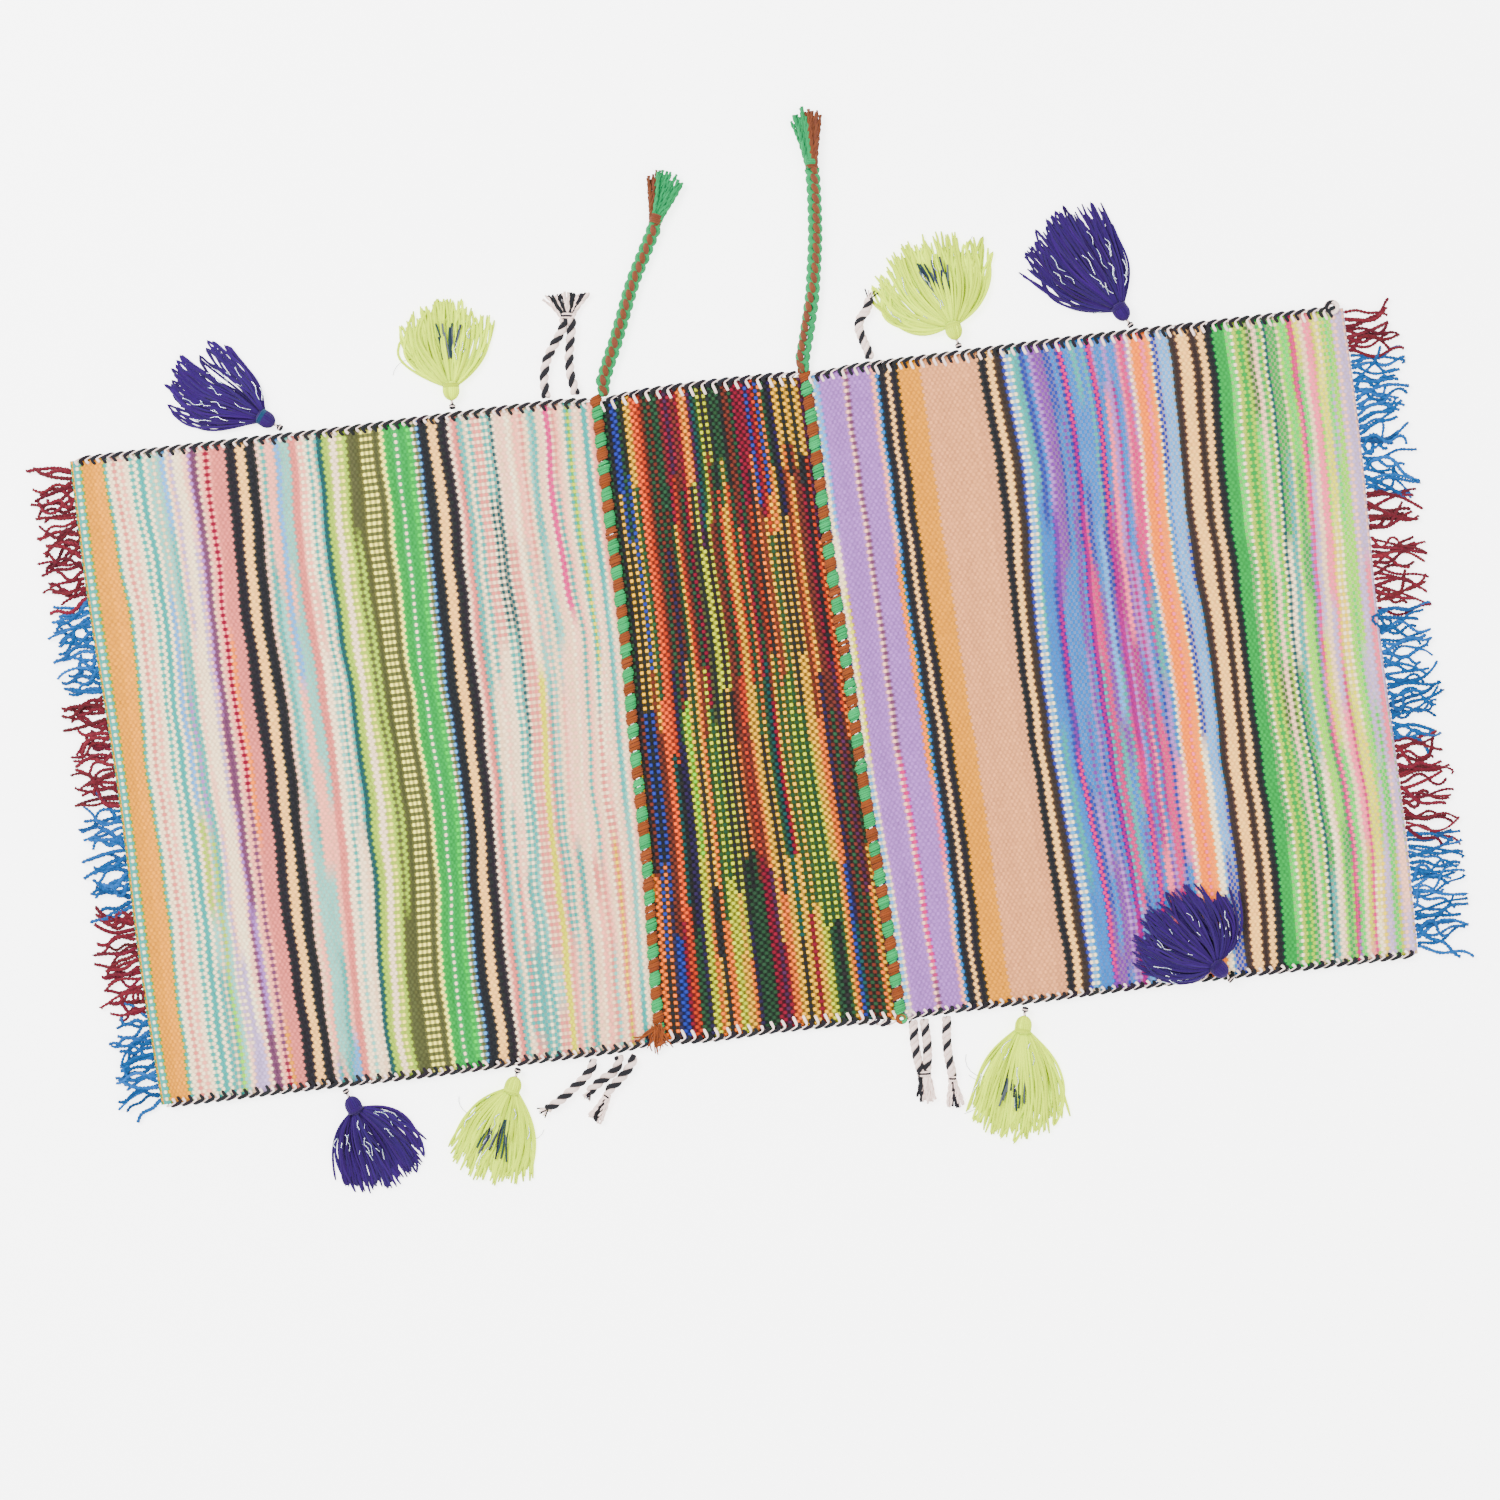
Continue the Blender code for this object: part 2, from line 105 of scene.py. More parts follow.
def dyed(rgb: tuple[float, float, float]) -> np.ndarray:
    """Reflectance that the studio's light and the film response show as an sRGB colour.

    Args:
        rgb: The colour wanted on screen, 0 to 255.

    Returns:
        The reflectance of each channel.
    """
    share = np.asarray(rgb, float) / 255.0
    shown = WIDE_FROM_SRGB @ np.where(share <= 0.04045, share / 12.92, ((share + 0.055) / 1.055) ** 2.4)
    curved = np.linalg.solve(FILM_OUTSET, shown ** (1.0 / 2.4))
    stops = np.interp(curved, FILM_CURVE, EXPOSURE) * 16.5 - 12.47393
    light = np.linalg.solve(WIDE_FROM_SRGB, np.linalg.solve(FILM_INSET, 2.0 ** stops))
    return np.clip(light / WHITE_LIGHT, 0.002, 0.90)


INK = {letter: dyed(rgb) for letter, rgb in DYES.items()}
BLACK_YARN = dyed((38, 38, 46))
WHITE_YARN = dyed((224, 216, 213))
DARKEST, BRIGHTEST = 0.001, 0.92


def smoothstep(value: np.ndarray, low: float, high: float) -> np.ndarray:
    """Ease a value from 0 at low to 1 at high."""
    share = np.clip((np.asarray(value, float) - low) / (high - low), 0.0, 1.0)
    return share * share * (3.0 - 2.0 * share)


def ripple(across: np.ndarray, along: np.ndarray, seed: int) -> np.ndarray:
    """Smooth seeded noise of about -1 to 1, from a few crossed sine waves.

    Args:
        across: Place across, in waves.
        along: Place along, in waves.
        seed: Which pattern.

    Returns:
        The noise at each place.
    """
    rng = np.random.default_rng(seed)
    waves = 6
    total = np.zeros(np.broadcast(across, along).shape)
    for _ in range(waves):
        turn = rng.uniform(0.0, math.tau)
        pace = rng.uniform(0.5, 1.6)
        phase = rng.uniform(0.0, math.tau)
        total = total + np.sin(math.tau * pace * (math.cos(turn) * across + math.sin(turn) * along)
                               + phase)
    return total / math.sqrt(2.0 * waves)


def circle(count: int) -> np.ndarray:
    """Angles evenly round a circle."""
    return np.linspace(0.0, math.tau, count + 1)[:-1]


def travelled(path: np.ndarray) -> np.ndarray:
    """Length along a path up to each of its points."""
    return np.concatenate([[0.0], np.cumsum(np.linalg.norm(np.diff(path, axis=0), axis=1))])


def end_axes(before: np.ndarray, end: np.ndarray) -> tuple[np.ndarray, np.ndarray]:
    """Directions along and level across a cord at its end."""
    along = end - before
    along /= np.linalg.norm(along)
    return along, np.array([-along[1], along[0], 0.0])


def joint_line(name: str) -> tuple[list[float], list[float]]:
    """Place and axis of one of the frame's joints."""
    joint = next(entry for entry in frame["joints"] if entry["name"] == name)
    return joint["pos_m"], joint["axis"]


# ---------------------------------------------------------------- the rug's outline


@dataclass(frozen=True)
class Outline:
    """Where the seams, folds and long edges run, read from the frame's joints and nodes.

    Attributes:
        half_width: Middle to the cloth's long edge.
        left_fold_slant: How much further along +X the left fold's far end is than its near end.
        right_fold_slant: The same for the right fold.
        seam_bow: How far each seam's middle is drawn towards +X.
        middle_z: Height of the line between a pouch's two layers.
    """

    half_width: float = 0.276
    left_fold_slant: float = -0.0120
    right_fold_slant: float = 0.0025
    seam_bow: dict[int, float] = field(default_factory=lambda: {LEFT: 0.0042, RIGHT: -0.0022})
    middle_z: float = 0.00275

    def hinge(self, side: int) -> tuple[float, float]:
        """X of a seam at Y = 0 and its change in X for each metre of Y."""
        (x, y, _), axis = joint_line(f"{SIDE_NAME[side]}_pouch_fold")
        slope = axis[0] / axis[1]
        return x - slope * y, slope

    def straight_seam(self, side: int, y: np.ndarray) -> np.ndarray:
        """X of the line that a pouch turns about."""
        start, slope = self.hinge(side)
        return start + slope * np.asarray(y, float)

    def seam(self, side: int, y: np.ndarray) -> np.ndarray:
        """X of a seam as the lacing draws it."""
        share = np.clip(np.asarray(y, float) / self.half_width, -1.0, 1.0)
        bow = self.seam_bow[side] * (1.0 - share ** 2)
        wander = 0.0006 * np.sin(31.0 * np.asarray(y, float) + side)
        return self.straight_seam(side, y) + bow + wander

    def fold(self, side: int, y: np.ndarray) -> np.ndarray:
        """X of a pouch's outer fold."""
        low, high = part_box(f"{SIDE_NAME[side]}_pouch_top")
        slant = self.left_fold_slant if side == LEFT else self.right_fold_slant
        outermost = low.x + abs(slant) / 2 if side == LEFT else high.x - abs(slant) / 2
        share = np.asarray(y, float) / (2.0 * self.half_width)
        return outermost + slant * share - side * 0.0012 * (1.0 + np.cos(19.0 * np.asarray(y, float)))

    def edge(self, edge: int, x: np.ndarray) -> np.ndarray:
        """Y of a long edge, drawn in beside the seams and let out between them."""
        x = np.asarray(x, float)
        pulls = {
            FAR: ((-0.100, 0.022, -0.0032), (0.088, 0.020, -0.0030), (-0.010, 0.050, 0.0012),
                  (-0.330, 0.080, -0.0012), (0.300, 0.090, 0.0010)),
            NEAR: ((-0.104, 0.024, -0.0034), (0.094, 0.016, 0.0044), (0.000, 0.040, -0.0010),
                   (-0.300, 0.070, 0.0010), (0.330, 0.080, -0.0012)),
        }
        shift = sum(size * np.exp(-((x - place) / spread) ** 2) for place, spread, size in pulls[edge])
        return edge * (self.half_width + shift)

    def between_edges(self, x: np.ndarray, along: np.ndarray) -> np.ndarray:
        """Y at a share of the way from the far edge to the near one."""
        far, near = self.edge(FAR, x), self.edge(NEAR, x)
        return far + along * (near - far)

    def near_corner(self, side: int, past: float) -> tuple[float, float]:
        """Place where a seam meets the near edge, moved towards +Y."""
        y = float(self.edge(NEAR, self.hinge(side)[0])) + past
        return float(self.seam(side, y)), y


OUTLINE = Outline()


# ---------------------------------------------------------------- finishes


class NodeKit:
    """Adds and joins nodes in one node tree."""

    def __init__(self, tree: bpy.types.NodeTree) -> None:
        """Keep the tree that the nodes go into."""
        self.tree = tree
        self.plus, self.minus, self.times = (partial(self.math, kind)
                                             for kind in ("ADD", "SUBTRACT", "MULTIPLY"))

    def put(self, value: object, socket: bpy.types.NodeSocket) -> None:
        """Join an output to an input, or set the input's own value."""
        if isinstance(value, bpy.types.NodeSocket):
            self.tree.links.new(value, socket)
        else:
            socket.default_value = value

    def add(self, kind: str, settings: dict | None = None, **inputs: object) -> bpy.types.Node:
        """Add a node.

        Args:
            kind: Its type, without the ShaderNode prefix.
            settings: Its own properties.
            **inputs: Values or sockets for its inputs, with _ for a space in the name.

        Returns:
            The node.
        """
        node = self.tree.nodes.new("ShaderNode" + kind)
        for key, value in (settings or {}).items():
            setattr(node, key, value)
        for key, value in inputs.items():
            socket = node.inputs[int(key[1:])] if key[1:].isdigit() else node.inputs[key.replace("_", " ")]
            self.put(value, socket)
        return node

    def math(self, operation: str, first: object, second: object = 0.0) -> bpy.types.NodeSocket:
        """Add a Math node and return its output."""
        return self.add("Math", {"operation": operation}, i0=first, i1=second).outputs[0]

    def blend(self, share: object, first: object, second: object,
              how: str = "MIX") -> bpy.types.NodeSocket:
        """Add a colour Mix node and return its output."""
        node = self.add("Mix", {"data_type": "RGBA", "blend_type": how})
        for place, value in ((0, share), (6, first), (7, second)):
            self.put(value, node.inputs[place])
        return node.outputs[2]

    def ramp(self, value: bpy.types.NodeSocket, *stops: tuple[float, tuple]) -> bpy.types.NodeSocket:
        """Colour a value between two stops, each a place and a colour."""
        node = self.add("ValToRGB", Fac=value)
        for element, (place, colour) in zip(node.color_ramp.elements, stops):
            element.position, element.color = place, colour
        return node.outputs[0]

    def grey(self, level: bpy.types.NodeSocket) -> bpy.types.NodeSocket:
        """A grey of the given level."""
        return self.add("CombineXYZ", X=level, Y=level, Z=level).outputs[0]

    def fill(self, node: bpy.types.Node, values: dict[str, object]) -> None:
        """Join or set several of a node's inputs, by name."""
        for label, value in values.items():
            self.put(value, node.inputs[label])


def new_group(name: str, inputs: dict[str, tuple[str, object]],
              outputs: dict[str, str]) -> tuple[bpy.types.NodeTree, NodeKit, bpy.types.Node, bpy.types.Node]:
    """Start a shader node group.

    Args:
        name: The group's name.
        inputs: Each input's socket type and starting value.
        outputs: Each output's socket type.

    Returns:
        The group, its kit, its input node and its output node.
    """
    group = bpy.data.node_groups.new(name, "ShaderNodeTree")
    for label, (kind, value) in inputs.items():
        socket = group.interface.new_socket(name=label, in_out="INPUT", socket_type="NodeSocket" + kind)
        if value is not None:
            socket.default_value = value
    for label, kind in outputs.items():
        group.interface.new_socket(name=label, in_out="OUTPUT", socket_type="NodeSocket" + kind)
    return group, NodeKit(group), group.nodes.new("NodeGroupInput"), group.nodes.new("NodeGroupOutput")


def wool_fibre_group() -> bpy.types.NodeTree:
    """Dye that is uneven along the yarn, with fine fibres and specks of dust."""
    group, kit, given, out = new_group(
        "WoolFibre",
        {"Colour": ("Color", (1, 1, 1, 1)), "Place": ("Vector", None), "Fibre Scale": ("Float", 2200.0),
         "Unevenness": ("Float", 0.18)},
        {"Colour": "Color", "Height": "Float", "Roughness": "Float"})
    place = given.outputs["Place"]
    fine = kit.add("TexNoise", Vector=place, Scale=given.outputs["Fibre Scale"], Detail=3.0,
                   Roughness=0.65).outputs[0]
    broad = kit.add("TexNoise", Vector=place, Scale=38.0, Detail=4.0, Roughness=0.6).outputs[0]
    speckle = kit.add("TexNoise", Vector=place, Scale=420.0, Detail=2.0).outputs[0]
    sum_of = kit.plus(kit.times(fine, 0.4), kit.plus(kit.times(broad, 0.3), kit.times(speckle, 0.3)))
    swing = kit.times(kit.minus(sum_of, 0.5), 4.0)
    level = kit.plus(1.0, kit.times(swing, given.outputs["Unevenness"]))
    kit.fill(out, {
        "Colour": kit.blend(1.0, given.outputs["Colour"], kit.grey(level), "MULTIPLY"),
        "Height": kit.plus(kit.times(fine, 0.7), kit.times(speckle, 0.3)),
        "Roughness": kit.plus(0.84, kit.times(fine, 0.14)),
    })
    return group


def warp_bead_group() -> bpy.types.NodeTree:
    """Round beads on a map whose unit is one thread by one pick, with painted shade that darkens each raised
    bead's rim and each lowered thread's middle.
    """
    group, kit, given, out = new_group(
        "WarpBead",
        {"Weave Place": ("Vector", None), "Shade": ("Float", 0.35)},
        {"Height": "Float", "Light": "Float"})
    place = given.outputs["Weave Place"]
    cell = kit.add("VectorMath", {"operation": "FRACTION"}, i0=place)
    centred = kit.add("VectorMath", {"operation": "SUBTRACT"}, i0=cell.outputs[0], i1=(0.5, 0.5, 0.0))
    across, along, _ = kit.add("SeparateXYZ", Vector=centred.outputs[0]).outputs
    wide, long = kit.math("ABSOLUTE", across), kit.math("ABSOLUTE", along)
    square = kit.plus(kit.math("POWER", wide, 2.0), kit.math("POWER", long, 2.0))
    dome = kit.math("SQRT", kit.math("MAXIMUM", kit.minus(1.0, kit.times(square, 2.4)), 0.0))
    valley = kit.times(wide, 1.5)
    whole = kit.add("VectorMath", {"operation": "FLOOR"}, i0=place)
    thread, pick, _ = kit.add("SeparateXYZ", Vector=whole.outputs[0]).outputs
    lowered = kit.math("ABSOLUTE", kit.math("MODULO", kit.plus(thread, pick), 2.0))
    height = kit.plus(kit.times(dome, kit.minus(1.0, lowered)), kit.times(valley, lowered))
    # Light is painted shade: darker the lower the bead's surface lies.
    dark = kit.times(kit.minus(1.0, height), given.outputs["Shade"])
    kit.fill(out, {"Height": height, "Light": kit.minus(1.0, dark)})
    return group


def blank_material(name: str) -> tuple[bpy.types.Material, NodeKit, bpy.types.Node]:
    """Start a material and return it with its kit and its shader."""
    material = bpy.data.materials.new(name)
    material.use_nodes = True
    return material, NodeKit(material.node_tree), material.node_tree.nodes["Principled BSDF"]


@dataclass(frozen=True)
class WoolFinish:
    """Matt wool whose colour is painted on the yarn, strand by strand.

    Attributes:
        name: The material's name.
        unevenness: How much the dye varies.
        fibre_scale: Fibres to the metre.
        fibre_depth: Height of the fibres' relief.
        sheen: Halo of loose fibres.
        bead_shade: Strength of the painted shade in the hollows between woven beads, or 0 off the loom.
        bead_depth: Height of a woven bead's relief.
    """

    name: str
    unevenness: float = 0.18
    fibre_scale: float = 2200.0
    fibre_depth: float = 0.00025
    sheen: float = 0.06
    bead_shade: float = 0.0
    bead_depth: float = 0.0004

    def make(self) -> bpy.types.Material:
        """Build the material."""
        material, kit, shader = blank_material(self.name)
        dye = kit.add("Attribute", {"attribute_name": "yarn_colour"}).outputs["Color"]
        place = kit.add("TexCoord").outputs["Object"]
        fibre = kit.add("Group", {"node_tree": GROUPS["WoolFibre"]}, Colour=dye, Place=place,
                        Fibre_Scale=self.fibre_scale, Unevenness=self.unevenness)
        colour, height = fibre.outputs["Colour"], fibre.outputs["Height"]
        normal = kit.add("Bump", Height=height, Distance=self.fibre_depth, Strength=0.6)
        if self.bead_shade > 0.0:
            weave = kit.add("UVMap", {"uv_map": "weave"}).outputs[0]
            bead = kit.add("Group", {"node_tree": GROUPS["WarpBead"]}, Weave_Place=weave,
                           Shade=self.bead_shade)
            # Painted shade: the beads' Light output is multiplied into the yarn colour.
            colour = kit.blend(1.0, colour, kit.grey(bead.outputs["Light"]), "MULTIPLY")
            normal = kit.add("Bump", Height=bead.outputs["Height"], Distance=self.bead_depth,
                             Strength=0.8, Normal=normal.outputs[0])
        kit.fill(shader, {
            "Base Color": colour, "Roughness": fibre.outputs["Roughness"], "Normal": normal.outputs[0],
            "Specular IOR Level": 0.12, "Sheen Weight": self.sheen, "Sheen Roughness": 0.5,
        })
        return material


@dataclass(frozen=True)
class TinselFinish:
    """Flat metallised thread that glints silver with a little blue.

    Attributes:
        name: The material's name.
    """

    name: str

    def make(self) -> bpy.types.Material:
        """Build the material."""
        material, kit, shader = blank_material(self.name)
        place = kit.add("TexCoord").outputs["Object"]
        foil = kit.add("TexNoise", Vector=place, Scale=900.0, Detail=2.0)
        tint = kit.ramp(foil.outputs[0], (0.35, (0.20, 0.34, 0.52, 1.0)), (0.62, (0.92, 0.94, 0.96, 1.0)))
        bump = kit.add("Bump", Height=foil.outputs[0], Distance=0.0003, Strength=0.8)
        kit.fill(shader, {"Base Color": tint, "Normal": bump.outputs[0], "Metallic": 1.0, "Roughness": 0.22})
        return material


@dataclass(frozen=True)
class FloorFinish:
    """Plain pale matt floor with the faintest grain."""

    name: str = "pale_floor"

    def make(self) -> bpy.types.Material:
        """Build the material."""
        material, kit, shader = blank_material(self.name)
        grain = kit.add("TexNoise", Vector=kit.add("TexCoord").outputs["Object"], Scale=180.0)
        pale = kit.ramp(grain.outputs[0], (0.0, (0.93, 0.93, 0.93, 1.0)), (1.0, (0.96, 0.96, 0.96, 1.0)))
        kit.fill(shader, {"Base Color": pale, "Roughness": 0.9, "Specular IOR Level": 0.1,
                          "Emission Color": (1.0, 1.0, 1.0, 1.0), "Emission Strength": 3.2})
        return material


# The shared node groups, by name, once Finishes.make_all has built them.
GROUPS: dict[str, bpy.types.NodeTree] = {}


@dataclass
class Finishes:
    """Every material of the rug, made once."""

    centre_weave: WoolFinish = WoolFinish("centre_weave", bead_shade=0.75, bead_depth=0.0008)
    pouch_weave: WoolFinish = WoolFinish("pouch_weave", unevenness=0.14, bead_shade=0.30,
                                         bead_depth=0.0004)
    overcast: WoolFinish = WoolFinish("overcast_wool", unevenness=0.22)
    lacing: WoolFinish = WoolFinish("lacing_wool", unevenness=0.22)
    fringe: WoolFinish = WoolFinish("fringe_wool", unevenness=0.30)
    tassel: WoolFinish = WoolFinish("tassel_yarn", unevenness=0.16)
    tinsel: TinselFinish = TinselFinish("tinsel")
    floor: FloorFinish = FloorFinish()
    made: dict[str, bpy.types.Material] = field(default_factory=dict)

    def make_all(self) -> None:
        """Build the shared node groups and then each material."""
        GROUPS["WoolFibre"] = wool_fibre_group()
        GROUPS["WarpBead"] = warp_bead_group()
        for label in ("centre_weave", "pouch_weave", "overcast", "lacing", "fringe", "tassel",
                      "tinsel", "floor"):
            self.made[label] = getattr(self, label).make()
            LOG.info("finish %s", label)


FINISHES = Finishes()


# ---------------------------------------------------------------- yarn into meshes


def transported_frames(path: np.ndarray) -> tuple[np.ndarray, np.ndarray]:
    """Two steady directions across a path at each of its points.

    Args:
        path: Points, one a row.

    Returns:
        The sideways and the upward direction at each point.
    """
    tangent = np.gradient(path, axis=0)
    tangent /= np.maximum(np.linalg.norm(tangent, axis=1, keepdims=True), 1e-12)
    side = np.empty_like(path)
    start = np.cross(np.array([0.0, 0.0, 1.0]), tangent[0])
    if np.linalg.norm(start) < 1e-3:
        start = np.array([1.0, 0.0, 0.0])
    side[0] = start / np.linalg.norm(start)
    for index in range(1, len(path)):
        turned = side[index - 1] - tangent[index] * np.dot(side[index - 1], tangent[index])
        side[index] = turned / max(np.linalg.norm(turned), 1e-12)
    return side, np.cross(tangent, side)


def smooth_path(places: np.ndarray, spacing: float) -> np.ndarray:
    """Points about a spacing apart on a Catmull-Rom curve through the given places."""
    places = np.asarray(places, float)
    ends = np.vstack([2 * places[0] - places[1], places, 2 * places[-1] - places[-2]])
    route = []
    for index in range(len(places) - 1):
        p0, p1, p2, p3 = ends[index:index + 4]
        count = max(1, round(float(np.linalg.norm(p2 - p1)) / spacing))
        t = (np.arange(count) / count)[:, None]
        route.append(0.5 * (2 * p1 + (p2 - p0) * t + (2 * p0 - 5 * p1 + 4 * p2 - p3) * t * t
                            + (3 * p1 - p0 - 3 * p2 + p3) * t ** 3))
    route.append(places[-1:])
    return np.vstack(route)


def quads(number: np.ndarray, flip: bool = False) -> np.ndarray:
    """Faces between the points of a numbered grid, facing up or, flipped, down."""
    loop = [number[:-1, :-1], number[:-1, 1:], number[1:, 1:], number[1:, :-1]]
    return np.stack(loop[::-1] if flip else loop, axis=2).reshape(-1, 4)


class Skein:
    """Gathers many coloured tubes and patches into one mesh."""

    def __init__(self) -> None:
        """Start empty."""
        self.points: list[np.ndarray] = []
        self.corners: list[np.ndarray] = []
        self.sizes: list[np.ndarray] = []
        self.tints: list[np.ndarray] = []
        self.count = 0

    def patch(self, points: np.ndarray, faces: np.ndarray, tints: np.ndarray) -> None:
        """Add faces that all have as many corners.

        Args:
            points: New points.
            faces: Point numbers of each face, counted from the first new point.
            tints: One linear colour for each face.
        """
        self.corners.append((faces + self.count).ravel())
        self.sizes.append(np.full(len(faces), faces.shape[1]))
        self.tints.append(np.broadcast_to(tints, (len(faces), 3)))
        self.points.append(points)
        self.count += len(points)

    def tube(self, path: np.ndarray, radius: float | np.ndarray, tint: np.ndarray, sides: int = 6,
             flat: float = 1.0, closed: bool = False) -> None:
        """Add a strand.

        Args:
            path: Its centre line.
            radius: Its radius, or one for each point.
            tint: Its colour, or one for each step of the path.
            sides: Sides of its section.
            flat: Height of its section as a share of its width.
            closed: Whether the last point joins the first.
        """
        side, up = transported_frames(path)
        size = np.broadcast_to(np.asarray(radius, float), (len(path),))[:, None]
        turns = np.arange(sides) * math.tau / sides
        ring = (path[:, None, :]
                + (size * np.cos(turns))[:, :, None] * side[:, None, :]
                + (flat * size * np.sin(turns))[:, :, None] * up[:, None, :])
        steps = len(path) if closed else len(path) - 1
        here = np.arange(steps)[:, None] * sides
        there = ((np.arange(steps) + 1) % len(path))[:, None] * sides
        spot, after = np.arange(sides)[None, :], (np.arange(sides)[None, :] + 1) % sides
        wall = np.stack([here + spot, here + after, there + after, there + spot], axis=2).reshape(-1, 4)
        tints = np.broadcast_to(np.atleast_2d(tint), (steps, 3))
        self.patch(ring.reshape(-1, 3), wall, np.repeat(tints, sides, axis=0))
        if not closed:
            first, last = self.count - len(path) * sides, self.count - sides
            for start, order in ((first, 1), (last, -1)):
                ends = start + (np.arange(sides)[::-1] if order == 1 else np.arange(sides))
                self.corners.append(ends)
                self.sizes.append(np.array([sides]))
                self.tints.append(tints[:1] if order == 1 else tints[-1:])

    def twisted(self, path: np.ndarray, radius: float, tints: list[np.ndarray], lay: float,
                sides: int = 6, start: float = 0.0, thin: float = 1.0) -> None:
        """Add plied yarn: strands wound round a path.

        Args:
            path: The yarn's centre line.
            radius: The yarn's outer radius.
            tints: Each strand's colour.
            lay: Length along the path of one turn.
            sides: Sides of a strand's section.
            start: Angle of the first strand at the path's start.
            thin: Radius at the path's end as a share of its start.
        """
        side, up = transported_frames(path)
        length = travelled(path)
        taper = 1.0 - (1.0 - thin) * length / length[-1]
        ply = radius * (0.56 if len(tints) == 2 else 0.48)
        for number, tint in enumerate(tints):
            turn = start + math.tau * (length / lay + number / len(tints))
            arm = ((radius - ply) * taper)[:, None]
            strand = path + arm * (np.cos(turn)[:, None] * side + np.sin(turn)[:, None] * up)
            self.tube(strand, ply * taper, tint, sides)

    def build(self, name: str, finish: str, maps: dict[str, np.ndarray] | None = None) -> bpy.types.Object:
        """Make the object.

        Args:
            name: Its name.
            finish: Which of the finishes it wears.
            maps: UV maps, each with a pair for every face corner.

        Returns:
            The object, linked to the scene.
        """
        mesh = bpy.data.meshes.new(name)
        points = np.vstack(self.points)
        corners = np.concatenate(self.corners).astype(np.int32)
        sizes = np.concatenate(self.sizes).astype(np.int32)
        mesh.vertices.add(len(points))
        mesh.vertices.foreach_set("co", points.astype(np.float32).ravel())
        mesh.loops.add(len(corners))
        mesh.loops.foreach_set("vertex_index", corners)
        mesh.polygons.add(len(sizes))
        starts = np.concatenate([[0], np.cumsum(sizes)[:-1]]).astype(np.int32)
        mesh.polygons.foreach_set("loop_start", starts)
        mesh.update(calc_edges=True)
        tint = mesh.color_attributes.new(name="yarn_colour", type="FLOAT_COLOR", domain="CORNER")
        rgba = np.ones((len(corners), 4), np.float32)
        rgba[:, :3] = np.repeat(np.vstack(self.tints), sizes, axis=0)
        tint.data.foreach_set("color", rgba.ravel())
        for label, pairs in (maps or {}).items():
            layer = mesh.uv_layers.new(name=label)
            layer.data.foreach_set("uv", pairs.astype(np.float32).ravel())
        mesh.shade_smooth()
        mesh.materials.append(FINISHES.made[finish])
        piece = bpy.data.objects.new(name, mesh)
        bpy.context.scene.collection.objects.link(piece)
        LOG.info("piece %s: %d faces", name, len(sizes))
        return piece


def varied(rng: np.random.Generator, tint: np.ndarray, spread: float = 0.16) -> np.ndarray:
    """A dye lot a little lighter or darker than the given one."""
    lot = tint * (1.0 + spread * rng.standard_normal())
    return np.clip(lot + 0.001 * rng.standard_normal(3), 0.001, 0.95)


def dress(piece: bpy.types.Object, body: str, slot: str, *nodes: str) -> bpy.types.Object:
    """Ride a piece on its body and hide the nodes it stands for."""
    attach(piece, body)
    if nodes:
        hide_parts(*nodes)
    return piece


# ---------------------------------------------------------------- weaving


class Weave(Enum):
    """How a stripe's threads take their colours."""

    PLAIN = "one colour after another, from side to side"
    TURNS = "colours in turn, thread by thread"
    DIPPED = "space-dyed yarn, which changes colour along its length"


@dataclass(frozen=True)
class Stripe:
    """One stripe of the draft.

    Attributes:
        threads: How many threads wide it is.
        dyes: Its colours' letters, the likelier ones given more often.
        weave: How the threads take those colours.
        weft: How much of the weft shows between the beads.
        ground: Share of cream threads among space-dyed ones.
    """

    threads: int
    dyes: str
    weave: Weave = Weave.PLAIN
    weft: float = 0.0
    ground: float = 0.0


def dipped(rng: np.random.Generator, dyes: str, picks: int) -> np.ndarray:
    """Colours along one space-dyed yarn, in long runs.

    Args:
        rng: Random draws.
        dyes: Letters to draw from.
        picks: Length of the yarn in picks.

    Returns:
        One colour a pick.
    """
    row, place = np.empty((picks, 3)), 0
    while place < picks:
        run = int(rng.integers(12, 76))
        row[place:place + run] = varied(rng, INK[dyes[rng.integers(len(dyes))]], 0.06)
        place += run
    fade = np.ones(7) / 7.0
    ends = np.vstack([np.repeat(row[:1], 3, axis=0), row, np.repeat(row[-1:], 3, axis=0)])
    return np.stack([np.convolve(ends[:, channel], fade, "valid") for channel in range(3)], axis=1)


def wind_warp(rng: np.random.Generator, draft: tuple[Stripe, ...],
              picks: int) -> tuple[np.ndarray, np.ndarray]:
    """Lay a draft out thread by thread.

    Args:
        rng: Random draws.
        draft: The stripes in order.
        picks: Picks along the cloth.

    Returns:
        Colours by thread and pick, and how much weft shows beside each thread.
    """
    warp, weft = [], []
    for stripe in draft:
        yarn, width = None, 0
        for number in range(stripe.threads):
            if stripe.weave is Weave.PLAIN:
                letter = stripe.dyes[number * len(stripe.dyes) // stripe.threads]
                row = np.tile(varied(rng, INK[letter], 0.03), (picks, 1))
            elif stripe.weave is Weave.TURNS:
                letter = stripe.dyes[number % len(stripe.dyes)]
                row = np.tile(varied(rng, INK[letter], 0.03), (picks, 1))
            elif rng.random() < stripe.ground:
                row = np.tile(varied(rng, INK["Wwpw"[rng.integers(4)]], 0.03), (picks, 1))
            else:
                if width == 0:
                    yarn, width = dipped(rng, stripe.dyes, picks), int(rng.integers(1, 3))
                row, width = yarn, width - 1
            warp.append(row)
            weft.append(stripe.weft)
    return np.array(warp), np.array(weft)


